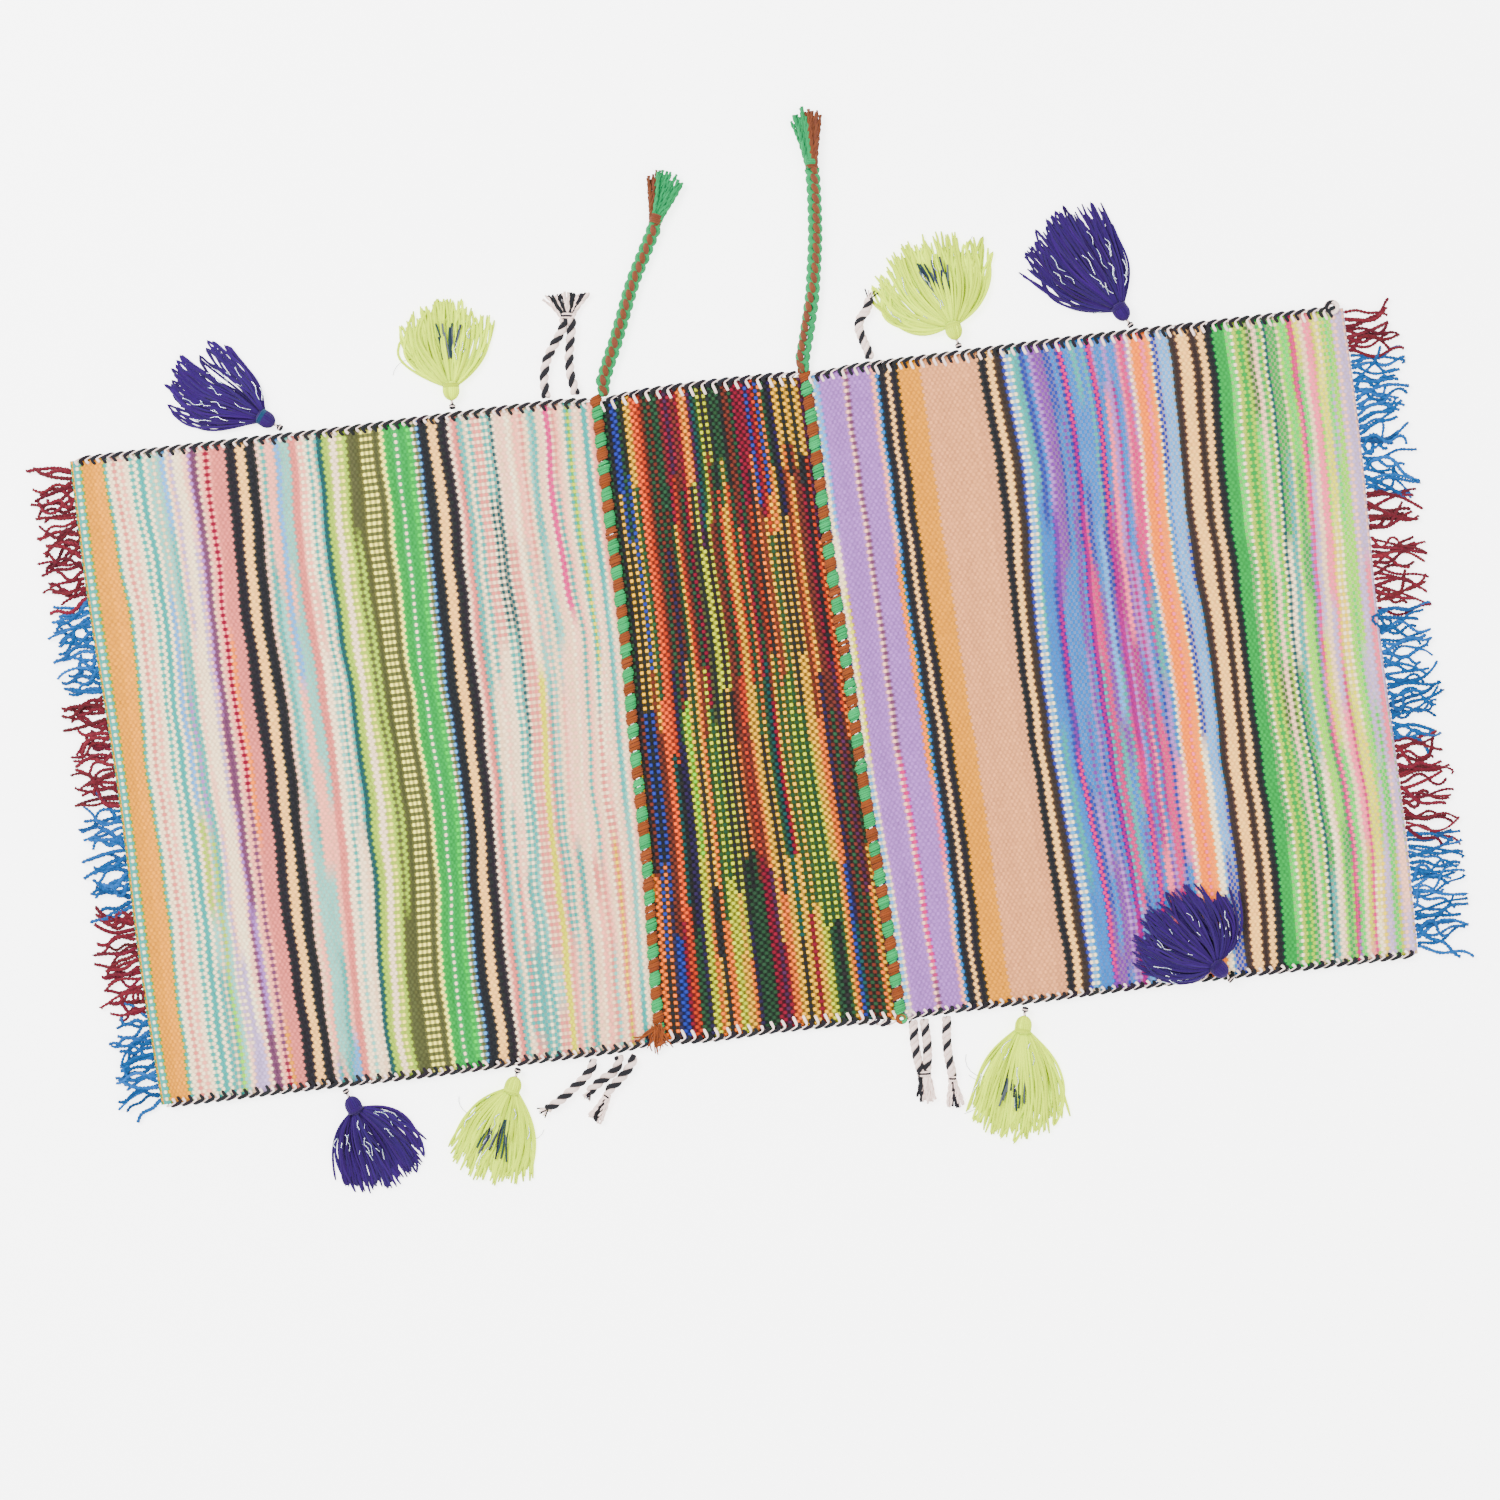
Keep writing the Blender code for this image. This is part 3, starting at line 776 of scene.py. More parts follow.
def bead_colours(warp: np.ndarray, weft_share: np.ndarray, weft: np.ndarray, hollow: float,
                 lend: float) -> tuple[np.ndarray, np.ndarray, np.ndarray]:
    """Colour of each bead: a raised thread, or a lowered one's neighbours, which close over it, darkened with
    painted shade.

    Args:
        warp: Colours by thread and pick.
        weft_share: How much weft shows beside each thread.
        weft: The weft's colour.
        hollow: Painted shade: share of light left on a lowered thread.
        lend: How much of its neighbours' colour a lowered thread takes on.

    Returns:
        Colours of the near, middle and further part of each bead, by thread and pick.
    """
    threads, picks, _ = warp.shape
    share = weft_share[:, None, None]
    raised = ((np.arange(threads)[:, None] + np.arange(picks)[None, :]) % 2 == 0)[:, :, None]
    before, after = np.concatenate([warp[:1], warp[:-1]]), np.concatenate([warp[1:], warp[-1:]])
    sides = (before, np.sqrt(before * after), after)
    parts = tuple(side ** lend * warp ** (1.0 - lend) for side in sides)
    # Lowered threads get painted shade: their colour times hollow.
    return tuple(np.where(raised, warp, hollow * (part * (1.0 - share) + weft * share)) for part in parts)


def read_draft(text: str) -> tuple[Stripe, ...]:
    """Read a draft written as words, one for each stripe.

    Args:
        text: Each word is a number of threads, then : for colours in turn or * for dipped yarn,
            the colours' letters, and after slashes the percentages of weft and of cream threads.

    Returns:
        The stripes in order.
    """
    stripes = []
    for word in text.split():
        head, *shares = word.split("/")
        threads = head.rstrip(string.ascii_letters)
        weave = {":": Weave.TURNS, "*": Weave.DIPPED}.get(threads[-1], Weave.PLAIN)
        stripes.append(Stripe(int(threads.strip(":*")), head[len(threads):], weave,
                              *(int(share) / 100 for share in shares)))
    return tuple(stripes)


LEFT_DRAFT = read_draft(
    "1e 1W 1e 5A 5a 2:We 2W 1q 2W 1P 3W 1e 2W 2e 2W 8*eElhEsie/20/25 8*pWpLW 4*uuul/0/15 2P "
    "1*cuc 1P 1*XqA 5q 4K 4B 4K 13*EePEesPE/15/35 3q 3*qPW/10/30 6*eWpEe/20/45 2d 3i 3W 1i 1J 2i "
    "6*OOOOOi 1J 1O 3JOJ 3O 2J 4G 1W 4G 1g 1G 1W 1O 1s 4K 4B 4K 2:pW 2q 5*eeEW/20/30 "
    "5*pWqe/10/40 4*eEed/20/20 5*WpEq/10/40 2*jWjz 8*PpqEe/20/40 6*eEpW/20/35 2*HPqNpW/10 "
    "7*WePqEe/20/40 1*YzYW 5*qPEeW/20/30 2*eE 4*WpP/10")
RIGHT_DRAFT = read_draft(
    "1b 1W 2*WjsW/20 10l 1p 1*uHcu/20 9l 2*NXXP 1S 3K 2B 3K 9A 24T 3K 3B 3k 1b 3:Ws 6*SSbSe/5 "
    "2*MmlH 10*SlmSbmS/10 2*MHMM 9*SseHmSb/10 2*HMHm 7*mlMNSS/10 7*SeNHlb/10 1W 1P 3X 1N "
    "3*XNXX/10 1W 7*sbWsSb/25/20 3k 5B 3k 3B 3K 5G 2*gG/20 1W 2i 1G 2i 5*GgFG/30/20 2:iW 1d "
    "5*WgeG/20/30 4*ghG/20/20 2*HNHl/10 4*zjLg/30/10 3*NHLNz/20 4*zjhYW/30/10 6*hgLzh/30 "
    "4*LNpL/20")
# The centre panel's threads at four levels from the far edge to the near one.
CENTRE_DRAFT = (
    "KfKbbfKyyxxrRfRffRcvcRcoaovtfzKzKfffKRRfccccbcrbofKnyyKyyKyyvc",
    "RfKyKybyfxxrRfRnRfyrRfcOKzzKzRRfryyrfocfRrKoRyfyKyKyRoyRRcKroR",
    "yKRbKbRRxxtKnnzhyKyofzfzKzKyKoRrRoyyKyftcyfyfzfzfzyyoonRfRvRfo",
    "KooKonbbcrrffnzzoyKoozzyyonffffccvcooyyKyycyyzzffKfyobtRfRfoyv",
)


# ---------------------------------------------------------------- cloth


@dataclass
class CentreCloth:
    """Single-layer centre panel, woven heavy, with a soft fold down its near half.

    Attributes:
        thread: Nominal width of a thread.
        pick: Nominal spacing of the picks.
        thickness: Cloth thickness.
        relief: Height of a bead above the hollows.
        setback: Seam line to the cloth's edge.
        seed: Start of its random draws.
        weft_share: How much of the weft shows between the beads.
        hollow: Share of light left on a lowered thread, as painted shade.
        lend: How much of its neighbours' colour a lowered thread takes on.
        brightness: Mean light of a bead.
        unevenness: How much that varies from bead to bead.
    """

    thread: float = 3.1 * MM
    pick: float = 3.05 * MM
    thickness: float = 3.4 * MM
    relief: float = 0.75 * MM
    setback: float = 1.6 * MM
    seed: int = 11
    weft_share: float = 0.25
    hollow: float = 0.62
    lend: float = 0.45
    brightness: float = 1.16
    unevenness: float = 0.10

    def colours(self, picks: int) -> list[np.ndarray]:
        """Colours of each bead's two sides and its middle, by thread and pick."""
        rng = np.random.default_rng(self.seed)
        threads = len(CENTRE_DRAFT[0])
        warp = np.empty((threads, picks, 3))
        for number in range(threads):
            start = 0
            for level, low, high in ((0, 0.10, 0.26), (1, 0.42, 0.58), (2, 0.72, 0.90), (3, 1.0, 1.0)):
                end = picks if low == high else int(picks * rng.uniform(low, high))
                warp[number, start:end] = varied(rng, INK[CENTRE_DRAFT[level][number]], 0.07)
                start = end
        share = np.full(threads, self.weft_share)
        grain = self.brightness + self.unevenness * rng.standard_normal((threads, picks, 1))
        # Lowered threads are darkened by hollow: painted shade.
        parts = bead_colours(warp, share, dyed((52, 46, 52)), self.hollow, self.lend)
        return [np.clip(part * grain, DARKEST, BRIGHTEST) for part in parts]

    def place(self, across: np.ndarray, along: np.ndarray) -> tuple[np.ndarray, np.ndarray]:
        """X and Y at shares of the panel from its left seam and from its far edge."""
        middle = OUTLINE.hinge(LEFT)[0] + across * (OUTLINE.hinge(RIGHT)[0] - OUTLINE.hinge(LEFT)[0])
        y = OUTLINE.between_edges(middle, along)
        start = OUTLINE.seam(LEFT, y) + self.setback
        end = OUTLINE.seam(RIGHT, y) - self.setback
        sway = 0.0016 * ripple(1.5 * across, 3.0 * along, self.seed) * np.sin(math.pi * across)
        return start + across * (end - start) + sway, y

    def lift(self, x: np.ndarray, y: np.ndarray, inset: np.ndarray) -> np.ndarray:
        """How far the cloth stands off the floor."""
        wave = 0.0010 * (1.0 + ripple(x / 0.09, y / 0.13, self.seed + 1))
        fold_x = -0.014 + 0.040 * (y + 0.026)
        fold = np.exp(-((x - fold_x) / 0.0052) ** 2) * smoothstep(-y, 0.0, 0.10)
        return (wave + 0.0058 * fold) * inset

    def build(self) -> bpy.types.Object:
        """Weave the panel and lay it between the seams."""
        threads = len(CENTRE_DRAFT[0])
        picks = round(2 * OUTLINE.half_width / self.pick)
        column, row = np.meshgrid(np.arange(2 * threads + 1), np.arange(2 * picks + 1), indexing="ij")
        across, along = column / (2.0 * threads), row / (2.0 * picks)
        x, y = self.place(across, along)
        border = np.minimum(np.minimum(across, 1 - across) * 0.19, np.minimum(along, 1 - along) * 0.55)
        inset = smoothstep(border, 0.0, 0.014)
        thick = 0.5 * self.thickness * np.sqrt(smoothstep(border, -0.0005, 0.005))
        centre = (column % 2 == 1) & (row % 2 == 1)
        up = ((column // 2 + row // 2) % 2 == 0)
        bead = np.where(centre, np.where(up, 1.0, -0.7), 0.0) * 0.5 * self.relief
        middle = self.thickness / 2 + self.lift(x, y, inset) + 0.0002
        top = np.stack([x, y, middle + thick + bead * inset], axis=2)
        bottom = np.stack([x, y, middle - thick - bead * inset], axis=2)
        rim = (across == 0) | (across == 1) | (along == 0) | (along == 1)
        top[rim, 2] = middle[rim]
        wide, long = top.shape[:2]
        number_top = np.arange(wide * long).reshape(wide, long)
        number_low = np.full((wide, long), -1)
        number_low[~rim] = wide * long + np.arange(int((~rim).sum()))
        number_low[rim] = number_top[rim]

        near, _, further = self.colours(picks)
        beads = np.stack([near, further], axis=1).reshape(2 * threads, picks, 3)
        beads = np.repeat(beads, 2, axis=1).reshape(-1, 3)
        skein = Skein()
        points = np.vstack([top.reshape(-1, 3), bottom[~rim]])
        faces = np.vstack([quads(number_top), quads(number_low, flip=True)])
        skein.patch(points, faces, np.vstack([beads, beads]))
        uv_points = np.stack([column / 2.0, row / 2.0], axis=2).reshape(-1, 2)
        uv_points = np.vstack([uv_points, uv_points.reshape(wide, long, 2)[~rim]])
        flat = np.stack([along, across * 0.35], axis=2).reshape(-1, 2)
        flat_low = np.stack([along, across * 0.35 + 0.4], axis=2)
        bake_top = flat[quads(number_top).ravel()]
        plain = np.arange(wide * long).reshape(wide, long)
        bake_low = flat_low.reshape(-1, 2)[quads(plain, flip=True).ravel()]
        maps = {"OFBake": np.vstack([bake_top, bake_low]) * 0.98 + 0.01, "weave": uv_points[faces.ravel()]}
        piece = skein.build("centre_cloth", "centre_weave", maps)
        dress(piece, "centre", "centre_cloth", "centre_panel")
        return piece


@dataclass
class PouchCloth:
    """One cloth folded double at the pouch's outer end, face up on top and plain beneath.

    Attributes:
        side: LEFT or RIGHT.
        draft: Its stripes, from the seam to the fold.
        seed: Start of its random draws.
        pick: Nominal spacing of the picks.
        relief: Height of a bead above the hollows.
        setback: Seam line to the cloth's edge.
        fold_threads: Threads that turn over the fold.
        hollow: Share of light left on a lowered thread, as painted shade.
        lend: How much of its neighbours' colour a lowered thread takes on.
        brightness: Mean light of a bead.
        unevenness: How much that varies from bead to bead.
    """

    side: int
    draft: tuple[Stripe, ...]
    seed: int
    pick: float = 3.0 * MM
    relief: float = 0.55 * MM
    setback: float = 1.6 * MM
    fold_threads: int = 4
    hollow: float = 0.94
    lend: float = 0.72
    brightness: float = 1.08
    unevenness: float = 0.05

    @property
    def threads(self) -> int:
        """Threads across the pouch's face."""
        return sum(stripe.threads for stripe in self.draft)

    def colours(self, picks: int) -> list[np.ndarray]:
        """Colours of each bead's two sides and its middle, by thread and pick."""
        rng = np.random.default_rng(self.seed)
        warp, share = wind_warp(rng, self.draft, picks)
        grain = self.brightness + self.unevenness * rng.standard_normal((self.threads, picks, 1))
        # Lowered threads are darkened by hollow: painted shade.
        parts = bead_colours(warp, share, INK["W"], self.hollow, self.lend)
        return [np.clip(part * grain, DARKEST, BRIGHTEST) for part in parts]

    def place(self, across: np.ndarray, along: np.ndarray) -> tuple[np.ndarray, np.ndarray, np.ndarray]:
        """X, Y and pinch at shares of the face from the seam and from the far edge."""
        seam, fold = OUTLINE.hinge(self.side)[0], float(OUTLINE.fold(self.side, 0.0))
        middle = seam + across * (fold - seam)
        y = OUTLINE.between_edges(middle, along)
        start = OUTLINE.seam(self.side, y) + self.side * self.setback
        end = OUTLINE.fold(self.side, y) - self.side * OUTLINE.middle_z
        sway = 0.0030 * ripple(2.4 * across, 2.2 * along, self.seed + 1)
        sway = sway + 0.0008 * ripple(9.0 * across, 9.0 * along, self.seed + 2)
        sway = sway * smoothstep(across, 0.0, 0.08) * smoothstep(1.0 - across, 0.0, 0.06)
        border = np.minimum(across * 0.44, np.minimum(along, 1.0 - along) * 0.55)
        return start + across * (end - start) + sway, y, border

    def build(self) -> bpy.types.Object:
        """Weave the pouch, fold it and lay it beside its seam."""
        threads, picks = self.threads, round(2 * OUTLINE.half_width / self.pick)
        skein, corners_uv, corners_bake = Skein(), [], []
        beads = self.colours(picks)
        columns = threads + self.fold_threads

        def spot(column: np.ndarray, row: np.ndarray) -> tuple[np.ndarray, np.ndarray]:
            """Place and upward push of a point of the face or the fold."""
            across, along = np.minimum(column / threads, 1.0), row / picks
            x, y, border = self.place(across, along)
            pinch = np.sqrt(smoothstep(border, -0.0004, 0.0065))
            inset = smoothstep(border, 0.0, 0.02) * smoothstep(threads - column, 0.0, 9.0)
            swell = 0.0013 * (1.0 + ripple(x / 0.10, y / 0.15, self.seed + 3)) * inset
            half = OUTLINE.middle_z - 0.0002
            over = np.clip(column - threads, 0, None) / self.fold_threads * math.pi
            z = OUTLINE.middle_z + half * pinch * np.cos(over) + swell
            x = x + self.side * half * np.sin(over)
            out = np.stack([np.sin(over) * self.side, np.zeros_like(over), np.cos(over)], axis=-1)
            return np.stack([x, y, z], axis=-1), out

        at_corner = np.stack(np.meshgrid(np.arange(columns + 1.0), np.arange(picks + 1.0), indexing="ij"), -1)
        at_centre = at_corner[:-1, :-1] + 0.5
        column, row = at_centre[..., 0], at_centre[..., 1]
        corners, _ = spot(at_corner[..., 0], at_corner[..., 1])
        centres, out = spot(column, row)
        up = (np.floor(column) + np.floor(row)) % 2 == 0
        centres = centres + out * (np.where(up, 1.0, -0.6) * self.relief * 0.7)[..., None]
        points = np.vstack([corners.reshape(-1, 3), centres.reshape(-1, 3)])
        corner = np.arange((columns + 1) * (picks + 1)).reshape(columns + 1, picks + 1)
        centre = len(corners.reshape(-1, 3)) + np.arange(columns * picks).reshape(columns, picks)
        loop = [corner[:-1, :-1], corner[1:, :-1], corner[1:, 1:], corner[:-1, 1:]]
        if self.side == RIGHT:
            loop = loop[::-1]
        fans = [np.stack([loop[(n + 1) % 4], loop[n], centre], axis=2).reshape(-1, 3) for n in range(4)]
        faces = np.vstack(fans)
        near, middle, further = (np.concatenate([part, part[-self.fold_threads:]]).reshape(-1, 3)
                                 for part in beads)
        skein.patch(points, faces, np.vstack([middle, further, middle, near]))
        weave = np.vstack([at_corner.reshape(-1, 2), at_centre.reshape(-1, 2)])
        corners_uv.append(weave[faces.ravel()])
        corners_bake.append(weave[faces.ravel()] / (2.2 * columns, picks))
        self.add_underside(skein, corners_uv, corners_bake, beads[1], picks)
        maps = {"OFBake": np.vstack(corners_bake) * 0.98 + 0.01, "weave": np.vstack(corners_uv)}
        label = SIDE_NAME[self.side]
        piece = skein.build(f"{label}_pouch_cloth", "pouch_weave", maps)
        dress(piece, f"{label}_pouch", f"{label}_cloth", f"{label}_pouch_top", f"{label}_pouch_underside")
        return piece

    def add_underside(self, skein: Skein, corners_uv: list[np.ndarray], corners_bake: list[np.ndarray],
                      beads: np.ndarray, picks: int) -> None:
        """Add the lower layer, which lies flat and carries the same stripes."""
        wide, long = self.threads // 2, picks // 2
        column, row = np.meshgrid(np.arange(wide + 1.0), np.arange(long + 1.0), indexing="ij")
        x, y, border = self.place(column / wide, row / long)
        pinch = np.sqrt(smoothstep(border, -0.0004, 0.0065))
        z = OUTLINE.middle_z - (OUTLINE.middle_z - 0.0002) * pinch
        points = np.stack([x, y, z], axis=-1).reshape(-1, 3)
        number = np.arange((wide + 1) * (long + 1)).reshape(wide + 1, long + 1)
        faces = quads(number, flip=self.side == RIGHT)
        skein.patch(points, faces, beads[:2 * wide:2, :2 * long:2].reshape(-1, 3))
        weave = np.stack([column * 2.0, row * 2.0], axis=-1).reshape(-1, 2)
        corners_uv.append(weave[faces.ravel()])
        corners_bake.append(weave[faces.ravel()] / (2.2 * self.threads, picks) + (0.5, 0.0))


# ---------------------------------------------------------------- lacing and overcasting


@dataclass
class Lacing:
    """Satin stitches in green and terracotta that join a pouch to the centre panel.

    Attributes:
        side: LEFT or RIGHT.
        pair: Length of one green and one terracotta stitch.
        green_share: Part of a pair that is green.
        half_width: Seam line to a stitch's end.
        height: Top of a stitch above the floor.
        strand: Radius of one strand.
        slant: How far a strand leans along the seam.
        past_far: How far the lacing runs past the cloth at the far edge.
        past_near: The same at the near edge.
        green: Dye of the green yarn.
        terracotta: Dye of the other.
    """

    side: int
    pair: float = 23.0 * MM
    green_share: float = 0.53
    half_width: float = 4.3 * MM
    height: float = 7.6 * MM
    strand: float = 1.15 * MM
    slant: float = 1.3 * MM
    past_far: float = 2.5 * MM
    past_near: float = 1.0 * MM
    green: tuple[int, int, int] = (58, 184, 126)
    terracotta: tuple[int, int, int] = (172, 98, 56)

    def stitch(self, skein: Skein, rng: np.random.Generator, middle: float, length: float,
               tint: np.ndarray) -> None:
        """Add one stitch: strands side by side that wrap right round the seam.

        Args:
            skein: Where the strands go.
            rng: Random draws.
            middle: Y of its middle.
            length: How far it reaches along the seam.
            tint: Its dye.
        """
        count = max(3, round(length / (1.55 * self.strand)))
        turns = circle(16)
        for number in range(count):
            share = (number + 0.5) / count * 2.0 - 1.0
            y = middle + share * length / 2 + 0.0003 * rng.standard_normal()
            reach = self.half_width * (1.0 - 0.32 * share ** 2) + 0.0003 * rng.standard_normal()
            low, high = 0.9 * MM, self.height - 1.4 * MM * share ** 2
            centre = float(OUTLINE.seam(self.side, y))
            path = np.stack([
                centre + reach * np.cos(turns),
                y + self.slant * np.cos(turns),
                (low + high) / 2 + (high - low) / 2 * np.sign(np.sin(turns)) * np.abs(np.sin(turns)) ** 0.75,
            ], axis=1)
            skein.tube(path, self.strand, varied(rng, tint, 0.10), sides=6, closed=True)

    def build(self) -> bpy.types.Object:
        """Lace the seam from the far edge to the near one."""
        rng = np.random.default_rng(31 + self.side)
        skein = Skein()
        green, terracotta = dyed(self.green), dyed(self.terracotta)
        place = OUTLINE.half_width + self.past_far
        limit = -OUTLINE.half_width - self.past_near
        brown = True
        while place > limit:
            share = 1.0 - self.green_share if brown else self.green_share
            length = min(self.pair * share * rng.uniform(0.88, 1.12), place - limit)
            if length > 3.0 * MM:
                self.stitch(skein, rng, place - length / 2, 0.93 * length, terracotta if brown else green)
            place -= length
            brown = not brown
        if self.side == LEFT:
            self.frayed_tail(skein, rng, terracotta)
        else:
            self.end_knot(skein, rng, green, terracotta)
        label = SIDE_NAME[self.side]
        piece = skein.build(f"{label}_lacing_stitches", "lacing")
        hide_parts(f"{label}_lacing")
        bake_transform(piece)
        return piece

    def frayed_tail(self, skein: Skein, rng: np.random.Generator, tint: np.ndarray) -> None:
        """Loose yarn ends that spill over the pouch's near corner."""
        x, y = OUTLINE.near_corner(self.side, 0.014)
        for _ in range(26):
            heading = math.radians(rng.normal(-112.0, 24.0))
            length = rng.uniform(0.012, 0.027)
            bend = rng.normal(0.0, 0.5)
            steps = np.linspace(0.0, 1.0, 8)
            angle = heading + bend * steps
            path = np.stack([
                x + 0.002 * rng.standard_normal() + np.cumsum(np.cos(angle)) * length / 8,
                y + 0.003 * rng.standard_normal() + np.cumsum(np.sin(angle)) * length / 8,
                0.0080 + 0.0022 * rng.random() - 0.0022 * steps ** 2 - 0.004 * (steps > 0.86)], axis=1)
            skein.tube(path, 0.9 * MM * (1.0 - 0.35 * steps), varied(rng, tint, 0.14), sides=5)

    def end_knot(self, skein: Skein, rng: np.random.Generator, green: np.ndarray,
                 terracotta: np.ndarray) -> None:
        """A small knot of both yarns that closes the lacing at the near edge."""
        x, y = OUTLINE.near_corner(self.side, 0.002)
        turns = circle(12)
        for number in range(6):
            tint = green if number % 2 else terracotta
            lean = rng.uniform(0.0, math.tau)
            size = 0.0042 - 0.0003 * number
            path = np.stack([x + size * np.cos(turns), y + size * 0.9 * np.sin(turns),
                             0.0062 + 0.0022 * np.sin(turns + lean)], axis=1)
            skein.tube(path, 1.2 * MM, varied(rng, tint, 0.1), sides=6, closed=True)


@dataclass
class Overcasting:
    """Black and white whipping stitches round one long edge of one panel.

    Attributes:
        panel: centre, left or right.
        edge: FAR or NEAR.
        tooth: How far a white stitch reaches into the cloth.
        black_tooth: The same for a black stitch.
        pitch: Length of one white and one black stitch.
        strand: Radius of the yarn.
    """

    panel: str
    edge: int
    tooth: float = 8.0 * MM
    black_tooth: float = 5.5 * MM
    pitch: float = 9.6 * MM
    strand: float = 1.25 * MM

    def span(self) -> tuple[float, float]:
        """X where the stitches start and end."""
        y = self.edge * OUTLINE.half_width
        ends = {
            "left": (float(OUTLINE.fold(LEFT, y)) + 0.004, float(OUTLINE.seam(LEFT, y)) - 0.004),
            "centre": (float(OUTLINE.seam(LEFT, y)) + 0.004, float(OUTLINE.seam(RIGHT, y)) - 0.004),
            "right": (float(OUTLINE.seam(RIGHT, y)) + 0.004, float(OUTLINE.fold(RIGHT, y)) - 0.004),
        }
        return ends[self.panel]

    def loop(self, x: float, reach: float, middle: float, half: float) -> np.ndarray:
        """One turn of yarn: a tooth on the cloth, a long slant along the rim and back underneath."""
        rim = abs(float(OUTLINE.edge(self.edge, x)))
        stops = np.array([
            (2.4 * MM, reach, middle + 0.6 * half), (1.6 * MM, reach * 0.72, middle + half),
            (0.5 * MM, reach * 0.38, middle + 1.05 * half), (0.4 * MM, 1.0 * MM, middle + 1.1 * half),
            (3.2 * MM, -0.6 * MM, middle + 0.95 * half), (6.4 * MM, -1.7 * MM, middle + 0.6 * half),
            (8.6 * MM, -2.0 * MM, middle), (7.0 * MM, -0.4 * MM, 1.3 * MM),
            (4.5 * MM, reach * 0.5, 1.1 * MM), (3.0 * MM, reach * 0.9, 1.3 * MM)])
        ring = smooth_path(np.vstack([stops, stops[:1]]), 1.4 * MM)[:-1]
        return np.stack([x + self.edge * ring[:, 0], self.edge * (rim - ring[:, 1]), ring[:, 2]], axis=1)

    def build(self) -> bpy.types.Object:
        """Whip the edge from end to end."""
        rng = np.random.default_rng(hash_of(self.panel) + self.edge)
        skein = Skein()
        start, end = self.span()
        middle = 1.9 * MM if self.panel == "centre" else OUTLINE.middle_z
        half = 2.9 * MM if self.panel == "centre" else 3.4 * MM
        slant = 8.0 * MM
        start, end = (start, end - slant) if self.edge == FAR else (start + slant, end)
        count = max(4, round((end - start) / (self.pitch / 2)))
        for number in range(count + 1):
            x = start + (end - start) * number / count + 0.0005 * rng.standard_normal()
            white = number % 2 == 0
            reach = (self.tooth if white else self.black_tooth) * rng.uniform(0.85, 1.12)
            path = self.loop(x, reach, middle, half)
            inward = smoothstep(abs(float(OUTLINE.edge(self.edge, x))) - np.abs(path[:, 1]), 0.0, 3.0 * MM)
            size = self.strand * ((0.50 + 0.58 * inward) if white else (1.32 - 0.26 * inward))
            skein.tube(path, size, varied(rng, WHITE_YARN if white else BLACK_YARN, 0.08), sides=7,
                       flat=0.8, closed=True)
        if self.panel == "right" and self.edge == FAR:
            self.corner_knot(skein, rng, end, middle)
        piece = skein.build(f"{self.panel}_{EDGE_NAME[self.edge]}_overcasting", "overcast")
        body = "centre" if self.panel == "centre" else f"{self.panel}_pouch"
        return dress(piece, body, "overcast_cord", f"{self.panel}_{EDGE_NAME[self.edge]}_binding")

    def corner_knot(self, skein: Skein, rng: np.random.Generator, x: float, middle: float) -> None:
        """Knot where the edge cord ends at the fold."""
        centre = np.array([x + 0.002, float(OUTLINE.edge(self.edge, x)) + 0.0015, middle + 0.0025])
        turns = circle(14)
        for number in range(5):
            lean, tilt = rng.uniform(0, math.tau), rng.uniform(0.3, 1.0)
            ring = np.stack([np.cos(turns), np.sin(turns), tilt * 0.5 * np.sin(turns + lean)], axis=1)
            tint = BLACK_YARN if number % 2 else WHITE_YARN
            skein.tube(centre + 0.0052 * ring * (1.0 - 0.08 * number), 1.5 * MM, tint, sides=6, closed=True)


def hash_of(word: str) -> int:
    """A steady number for a word."""
    return sum((place + 1) * ord(letter) for place, letter in enumerate(word))


# ---------------------------------------------------------------- fringe


